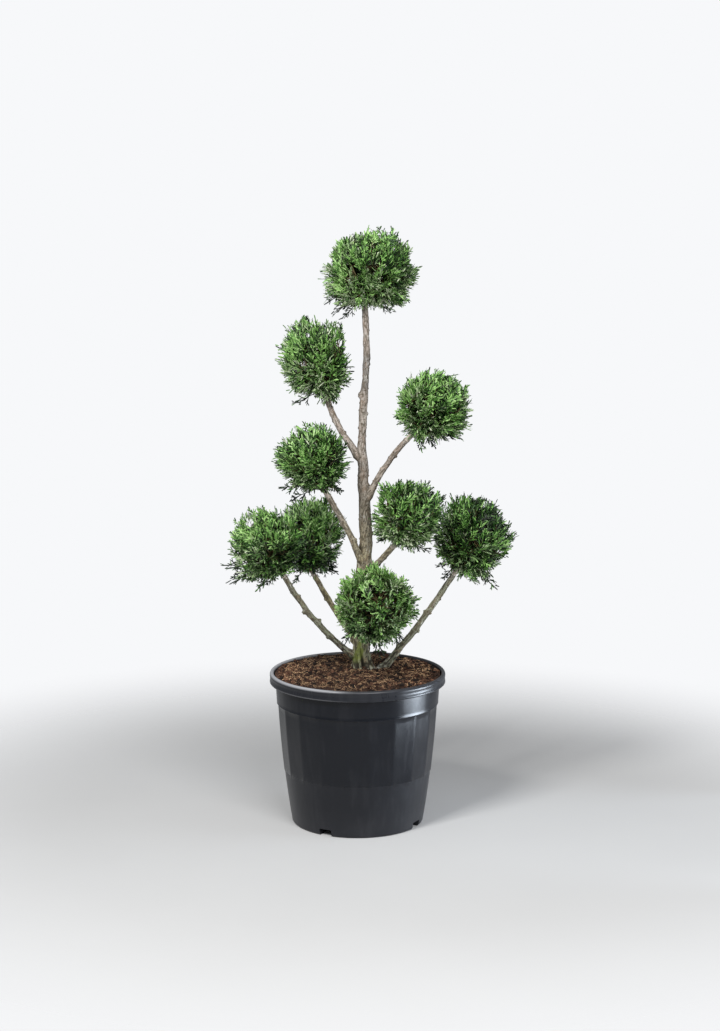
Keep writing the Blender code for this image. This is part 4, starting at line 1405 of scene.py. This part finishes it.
def grow_branchlets(sprays, plans, width, draw):
    """Every branchlet of the sprays: foot, way, across, length, width, tone and hue, one row each."""
    grown = []
    for spray in sprays:
        plan = plans[spray.plan]
        along = spray.tip - spray.foot
        length = np.linalg.norm(along)
        along = along / length
        side = unit(np.cross(spray.face, along))
        up = np.cross(along, side)
        cos, sin = math.cos(spray.roll), math.sin(spray.roll)
        side, up = side * cos + up * sin, up * cos - side * sin
        u, v, heading, reach, wide, step = plan.T
        heading = heading + draw.normal(0, HEADING_SPREAD, len(plan))
        cup = spray.curl * (u * u + 0.8 * v * v)
        base = spray.foot + length * (u[:, None] * along + v[:, None] * side + cup[:, None] * up)
        way = np.cos(heading)[:, None] * along + np.sin(heading)[:, None] * side
        way = unit(way + (2 * spray.curl * u + draw.normal(0, LIFT_SPREAD, len(plan)))[:, None] * up)
        flat = unit(np.cross(up + draw.normal(0, FACE_SPREAD, (len(plan), 3)), way))
        reach = reach * length * draw.uniform(*LENGTHS, len(plan))
        wide = wide * width * draw.uniform(*WIDTHS, len(plan))
        hue = np.full(len(plan), spray.hue)
        grown.append(np.column_stack([base, way, flat, reach, wide, spray.tone + step, hue]))
    return np.concatenate(grown)


def blade_mesh(grown):
    """Points and faces of the leafy branchlets."""
    base, way, across = grown[:, 0:3], grown[:, 3:6], grown[:, 6:9]
    length, width = grown[:, 9], grown[:, 10]
    up = np.cross(way, across)
    rows = [(u, 0.0, lift) for u, lift in BLADE_RIDGE]
    rows += [(u, v, 0.0) for u, v in BLADE_HALF]
    rows += [(u, -v, 0.0) for u, v in BLADE_HALF]
    u, v, lift = np.array(rows).T
    points = base[:, None] + way[:, None] * (length[:, None] * u)[:, :, None]
    points = points + across[:, None] * (width[:, None] * v)[:, :, None]
    points = points + up[:, None] * (width[:, None] * lift)[:, :, None]
    half = len(BLADE_HALF)
    left = [tuple(reversed(face)) for face in BLADE_SIDE_FACES]
    right = [tuple(c + half if c >= len(BLADE_RIDGE) else c for c in face) for face in BLADE_SIDE_FACES]
    faces = np.array(left + right)
    faces = faces[None] + (np.arange(len(grown)) * len(rows))[:, None, None]
    return points.reshape(-1, 3), faces.reshape(-1, 3), len(left + right)


class Growth:
    """One ball as it grows: its own shape, its sprays and the draws that vary them."""

    def __init__(self, name, ball, seed):
        self.name, self.ball, self.seed = name, ball, seed
        self.rng = random.Random(seed)
        self.draw = np.random.default_rng(seed)
        self.place = ball_frame(ball)
        self.down = (self.place.inverted() @ tip_of_wood(name)[0]).normalized()
        self.size = sum(ball.reach) / 3
        self.sprays = []

    def wood_inside(self):
        """The stem that grows on from the limb, its radii, and the boughlets that fork off it."""
        rng = self.rng
        tip, way, radius = tip_of_wood(self.name)
        middle = Vector(self.ball.centre)
        bend = tip + way * ((middle - tip).length * 0.4)
        stem = [tip - way * 0.004, tip.lerp(bend, 0.35), tip.lerp(bend, 0.8), bend.lerp(middle, 0.35), middle]
        sag = Vector((0, 0, BOUGHLET_SAG))
        paths = []
        for direction in even_directions(BOUGHLETS, rng):
            back = 1 - direction.angle(self.down) / math.pi * 0.35 - 0.5
            leaves_at = 0.12 + 0.80 * back * rng.uniform(0.6, 1.0)
            share = min(max((1 - direction.dot(self.down)) * 0.42 + leaves_at * 0.3, 0.05), 0.95)
            spot = share * (len(stem) - 1)
            low = min(int(spot), len(stem) - 2)
            start = stem[low].lerp(stem[low + 1], spot - low)
            end = self.place @ (direction * 0.66)
            bow = start.lerp(end, 0.5) + sag + random_offset(rng, 0.004)
            path = [start, start.lerp(bow, 0.6) + sag * 0.2, bow, bow.lerp(end, 0.55), end]
            paths.append([tuple(point) for point in path])
        return stem, [radius * share for share in STEM_TAPER], paths

    def directions(self, area_each):
        """Directions over the ball's surface, one for each share of its area."""
        return even_directions(round(4 * math.pi * self.size ** 2 / area_each), self.rng)

    def add_spray(self, foot, tip, face, spread, tone, is_open=False):
        """Adds a spray, fresh or old. Patches of the ball are fresh, and more of them high up. An old spray
        is darker than a fresh one: partly older growth, partly painted shade.
        """
        rng, ball = self.rng, self.ball
        plan = PLANS + rng.randrange(OPEN_PLANS) if is_open else rng.randrange(PLANS)
        fresh = noise.noise(Vector(tip) * FRESH_PITCH + Vector((self.seed, 0, 0)))
        fresh += FRESH_RISE * (tip[2] - ball.centre[2]) / ball.reach[2] + rng.gauss(0, FRESH_SPREAD)
        hue = 0 if fresh > 0 else 1
        # Fresh a little lighter and old darker: older growth, with painted shade low in the ball.
        tone += 0.2 - 0.6 * hue
        foot, tip, face = np.array(foot), np.array(tip), np.array(face)
        roll, curl = rng.gauss(0, spread), rng.gauss(*SPRAY_CURL)
        self.sprays.append(Spray(foot, tip, face, roll, curl, tone, plan, hue))

    def add_surface(self, settings):
        """The sprays of the clipped surface: lumps, hollows and open patches, with some that stand out."""
        rng, place, down = self.rng, self.place, self.down
        length = settings.spray_length / self.size
        own, side, up = self.ball.light
        for direction in self.directions(settings.spray_area):
            hollow = hollow_share(self.name, direction)
            bulge = lump(self.ball, direction, self.seed) - HOLLOW_DENT * hollow
            drift = direction * direction.dot(down) - down + random_offset(rng, 0.6)
            drift = (drift - direction * drift.dot(direction)).normalized()
            spiky = rng.random() < SPIKY_SHARE
            lean = rng.uniform(*SPRAY_LEAN)
            heading = (direction + drift * lean * (SPIKY_LEAN if spiky else 1.0)).normalized()
            tip = direction * (bulge + rng.uniform(*SPRAY_REACH) + (SPIKE if spiky else 0.0))
            foot = tip - heading * (length * rng.uniform(0.85, 1.15))
            patch = noise.noise(direction * PATCH_PITCH + Vector((0, 0, self.seed * 2.3))) - 0.08 * hollow
            if patch < OPEN_PATCH and rng.random() < OPEN_SHARE:
                continue
            # Painted light and shade: the ball's light with its change to the right and upwards, lighter
            # lumps, and darker hollows and spiky sprays.
            tone = MIDDLE_TONE + own + side * direction.x + up * direction.z
            tone = tone + PATCH_TONE * patch + BULGE_LIGHT * bulge
            tone += CLUMP_TONE - HOLLOW_SHADE * hollow + rng.gauss(0, SPRAY_TONE_SPREAD)
            if spiky:
                tone += SPIKY_SHADE
            roll = SPIKY_ROLL if spiky else SPRAY_ROLL
            self.add_spray(place @ foot, place @ tip, direction, roll, tone, spiky)

    def add_inside(self, area_each):
        """The sprays deep in the ball, dark with painted shade."""
        rng = self.rng
        for direction in self.directions(area_each):
            tip = (direction + random_offset(rng, 0.4)).normalized() * rng.uniform(*INNER_REACH)
            foot = direction * rng.uniform(*INNER_FOOT)
            face = random_offset(rng, 1.0)
            self.add_spray(self.place @ foot, self.place @ tip, face, 1.0, rng.uniform(*INNER_SHADE_TONE))

    def add_sprigs(self, stem):
        """The loose sprigs under the ball, two sprays to each. Gives back the twigs that they hang on."""
        rng = self.rng
        twigs = []
        for offset in self.ball.sprigs:
            tip = Vector(self.ball.centre) + Vector(offset)
            start = stem[1].lerp(stem[2], rng.uniform(0.2, 0.9))
            foot = start.lerp(tip, 0.50) + Vector((0, 0, 0.004))
            twigs.append([tuple(start), tuple(start.lerp(foot, 0.5) + Vector((0, 0, 0.003))), tuple(foot)])
            for turn in range(2):
                aim = tip + random_offset(rng, 0.010) * turn
                # The hanging sprigs are in the darkest greens: painted shade under the ball.
                tone = 0.1 + rng.gauss(0, 0.4)
                self.add_spray(foot.lerp(tip, 0.05 * turn), aim, (0.0, -1.0, 0.3), 0.5, tone, True)
        return twigs

    def branchlets(self, plans, wood, width):
        """The branchlets of every spray, less those in the wood or in a gap of sky.

        They have painted shade: darkest deep in the ball, and a little darker again where they stand out of
        it.
        """
        grown = grow_branchlets(self.sprays, plans, width, self.draw)
        reach = grown[:, 3:6] * grown[:, 9:10]
        tips = grown[:, 0:3] + reach
        middles = grown[:, 0:3] + reach * 0.5
        inverse = np.array(self.place.inverted())
        shares = np.linalg.norm(tips @ inverse[:3, :3].T + inverse[:3, 3], axis=1)
        # Painted shade deep in the ball and where a branchlet stands out of it.
        deep = np.clip((shares - DEEP_SHARE) * 6, -1.5, 0.0)
        proud = np.clip((shares - PROUD_SHARE) * 10, 0.0, 1.0)
        grown[:, TONE] += deep - proud
        grown[:, TONE] += self.draw.normal(0, BRANCHLET_TONE_SPREAD, len(grown))
        kept = ~(near_wood(tips, wood) | near_wood(middles, wood))
        for gap in GAPS.get(self.name, ()):
            kept &= ~(in_gap(tips, self.ball, *gap) | in_gap(middles, self.ball, *gap))
        return grown[kept]

    def twigs(self, boughlet_paths):
        """A twig from the nearest boughlet to each spray."""
        spots = np.array([point for path in boughlet_paths for point in path[1:]])
        paths = []
        for spray in self.sprays:
            foot = spray.foot
            inner = np.array(self.ball.centre) * 0.25 + foot * 0.75
            start = spots[np.argmin(np.linalg.norm(spots - inner, axis=1))]
            bow = (start + foot) / 2 + self.draw.normal(0, 0.002, 3)
            paths.append([start, bow, foot, foot + (spray.tip - foot) * 0.45])
        return paths


def make_sprays(name, grown, greens):
    """The leafy branchlets of a ball, each in its own plain green."""
    tones = np.clip(np.round(grown[:, TONE]), 0, len(GREENS) - 1)
    tones = (tones + grown[:, HUE] * len(GREENS)).astype(int)
    points, faces, each = blade_mesh(grown)
    mesh = new_mesh("sprays_" + name, points.tolist(), faces.tolist(), np.repeat(tones, each), greens)
    finish_piece(placed("sprays_" + name, mesh), "foliage", "foliage_" + name)


def make_ball(name, ball, seed, finishes, plans, wood, settings):
    growth = Growth(name, ball, seed)
    stem, stem_radii, boughlets = growth.wood_inside()
    growth.add_surface(settings)
    growth.add_inside(settings.inner_area)
    hanging = growth.add_sprigs(stem)
    make_sprays(name, growth.branchlets(plans, wood, settings.blade_width), finishes["greens"])
    shape = Shape()
    rings, faces, grain = wood_shape(smoothed(stem, 4), thinned(stem_radii, 4), 14, seed + 20.0, 0.0004, [])
    shape.add(rings, faces, 0, grain)
    for paths, radii, sides in (
        (boughlets, BOUGHLET_RADII, 6), (growth.twigs(boughlets), TWIG_RADII, 3), (hanging, SPRIG_RADII, 5)
    ):
        shape.add(*rods(paths, [radii] * len(paths), sides), 1)
    wooden = shape.make("twigs_" + name, [finishes["bark"], finishes["twig"]], 60)
    finish_piece(wooden, "bark", "foliage_" + name)


def smoothed(points, cuts):
    """A smooth curve through the points, cut into short steps."""
    rounded = []
    for i in range(len(points) - 1):
        before, start, end = points[max(i - 1, 0)], points[i], points[i + 1]
        after = points[min(i + 2, len(points) - 1)]
        for step in range(cuts):
            t = step / cuts
            bend = (end - before) * (0.5 * t) + (before * 2 - start * 5 + end * 4 - after) * (0.5 * t * t)
            rounded.append(start + bend + (start * 3 - before - end * 3 + after) * (0.5 * t ** 3))
    return rounded + [points[-1]]


def thinned(radii, cuts):
    places = np.linspace(0, len(radii) - 1, (len(radii) - 1) * cuts + 1)
    return np.interp(places, range(len(radii)), radii).tolist()


def make_foliage(settings, wood_settings):
    greens = []
    for hue, (red_share, blue_share) in zip(("fresh", "old"), HUES):
        for number, (red, green, blue) in enumerate(GREENS):
            colour = linear(red * red_share, green, blue * blue_share)
            greens.append(green_finish(f"{hue}_{number}", colour))
    bark = bpy.data.materials.get("bark") or bark_finish("bark", wood_settings.low_bark, wood_settings)
    finishes = {"greens": greens, "bark": bark, "twig": twig_finish()}
    rng = random.Random(PLAN_SEED)
    plans = [spray_plan(SIDE_SHOOTS, rng) for _ in range(PLANS)]
    plans += [spray_plan(OPEN_SIDE_SHOOTS, rng) for _ in range(OPEN_PLANS)]
    wood = wood_samples()
    for seed, (name, ball) in enumerate(BALLS.items(), 1):
        make_ball(name, ball, seed, finishes, plans, wood, settings)


def area_light(name, place, aim, width, height, power, colour=(1.0, 1.0, 1.0), spread=180):
    lamp = bpy.data.lights.new(name, "AREA")
    lamp.shape = "RECTANGLE"
    lamp.size = width
    lamp.size_y = height
    lamp.energy = power
    lamp.color = colour
    lamp.spread = math.radians(spread)
    made = placed(name, lamp)
    made.location = place
    made.rotation_euler = (Vector(aim) - Vector(place)).to_track_quat("-Z", "Y").to_euler()


def make_backdrop():
    """A pale surround: nearly white where the camera sees it, and dimmer as a light."""
    world = bpy.data.worlds.new("backdrop")
    world.use_nodes = True
    nodes, links = world.node_tree.nodes, world.node_tree.links
    shown = nodes["Background"]
    shown.inputs["Color"].default_value = (*linear(*BACKDROP), 1.0)
    lighting = nodes.new("ShaderNodeBackground")
    lighting.inputs["Color"].default_value = SURROUND
    lighting.inputs["Strength"].default_value = SURROUND_STRENGTH
    path = nodes.new("ShaderNodeLightPath")
    mix = nodes.new("ShaderNodeMixShader")
    links.new(path.outputs["Is Camera Ray"], mix.inputs[0])
    links.new(lighting.outputs[0], mix.inputs[1])
    links.new(shown.outputs[0], mix.inputs[2])
    links.new(mix.outputs[0], nodes["World Output"].inputs["Surface"])
    bpy.context.scene.world = world


def make_stage(settings):
    points = [(x, y, 0.0) for x, y in circle(FLOOR_RADIUS, FLOOR_SIDES)]
    shape = Shape()
    shape.add(points, [tuple(range(len(points)))])
    floor = shape.make("floor", [floor_finish(tuple(settings.floor))])
    area_light("key", *KEY_LIGHT, settings.key_power, WARM)
    area_light("fill", *FILL_LIGHT, settings.key_power * FILL_SHARE)
    area_light("strip", *STRIP_LIGHT, settings.strip_power, COOL, STRIP_SPREAD)
    make_backdrop()
    bpy.context.scene.view_settings.view_transform = "Standard"
    make_camera()


def make_camera():
    """The photograph's view, fitted to the pot, the plant and the ground."""
    camera = bpy.data.cameras.new("camera")
    camera.sensor_width = SENSOR_WIDTH
    camera.lens = SENSOR_WIDTH * FOCAL_PIXELS / PICTURE_SIDE
    camera.shift_y = HORIZON_SHIFT
    made = placed("camera", camera)
    made.location = EYE
    made.rotation_euler = (math.radians(90 - CAMERA_TILT), 0.0, 0.0)
    bpy.context.scene.camera = made


class TOPIARY_OT_stage(bpy.types.Operator):
    """Set up the pale floor, the soft lights and the camera"""

    bl_idname = "topiary.stage"
    bl_label = "Stage"

    def execute(self, context):
        make_stage(context.scene.topiary_stage)
        return {"FINISHED"}


class TOPIARY_OT_pot(bpy.types.Operator):
    """Make the panelled nursery pot with its rolled rim and drain notches"""

    bl_idname = "topiary.pot"
    bl_label = "Nursery pot"

    def execute(self, context):
        make_pot(context.scene.topiary_pot)
        return {"FINISHED"}


class TOPIARY_OT_compost(bpy.types.Operator):
    """Make the crumbly compost with its chips and fibres"""

    bl_idname = "topiary.compost"
    bl_label = "Compost"

    def execute(self, context):
        make_compost(context.scene.topiary_compost)
        return {"FINISHED"}


class TOPIARY_OT_wood(bpy.types.Operator):
    """Make the trunk and the bare limbs with the relief of their bark"""

    bl_idname = "topiary.wood"
    bl_label = "Trunk and limbs"

    def execute(self, context):
        make_wood(context.scene.topiary_wood)
        return {"FINISHED"}


class TOPIARY_OT_foliage(bpy.types.Operator):
    """Grow the clipped balls of sprays on their twigs"""

    bl_idname = "topiary.foliage"
    bl_label = "Foliage balls"

    def execute(self, context):
        make_foliage(context.scene.topiary_foliage, context.scene.topiary_wood)
        return {"FINISHED"}


OPERATORS = (TOPIARY_OT_stage, TOPIARY_OT_pot, TOPIARY_OT_compost, TOPIARY_OT_wood, TOPIARY_OT_foliage)
SETTINGS = {
    "topiary_stage": TopiaryStageSettings,
    "topiary_pot": TopiaryPotSettings,
    "topiary_compost": TopiaryCompostSettings,
    "topiary_wood": TopiaryWoodSettings,
    "topiary_foliage": TopiaryFoliageSettings,
}


class TOPIARY_PT_panel(bpy.types.Panel):
    """Lists the pieces of the topiary with their settings"""

    bl_idname = "TOPIARY_PT_panel"
    bl_label = "Multiball topiary"
    bl_space_type = "VIEW_3D"
    bl_region_type = "UI"
    bl_category = "Topiary"

    def draw(self, context):
        for operator, (name, group) in zip(OPERATORS, SETTINGS.items()):
            box = self.layout.box()
            box.operator(operator.bl_idname)
            for setting in group.__annotations__:
                box.prop(getattr(context.scene, name), setting)


def register():
    for group in SETTINGS.values():
        bpy.utils.register_class(group)
    for name, group in SETTINGS.items():
        setattr(bpy.types.Scene, name, PointerProperty(type=group))
    for operator in OPERATORS:
        bpy.utils.register_class(operator)
    bpy.utils.register_class(TOPIARY_PT_panel)


def unregister():
    bpy.utils.unregister_class(TOPIARY_PT_panel)
    for operator in reversed(OPERATORS):
        bpy.utils.unregister_class(operator)
    for name in SETTINGS:
        delattr(bpy.types.Scene, name)
    for group in reversed(SETTINGS.values()):
        bpy.utils.unregister_class(group)


def main():
    register()
    bpy.ops.topiary.stage()
    bpy.ops.topiary.pot()
    bpy.ops.topiary.compost()
    bpy.ops.topiary.wood()
    bpy.ops.topiary.foliage()
    bpy.context.view_layer.update()


if __name__ == "__main__":
    main()
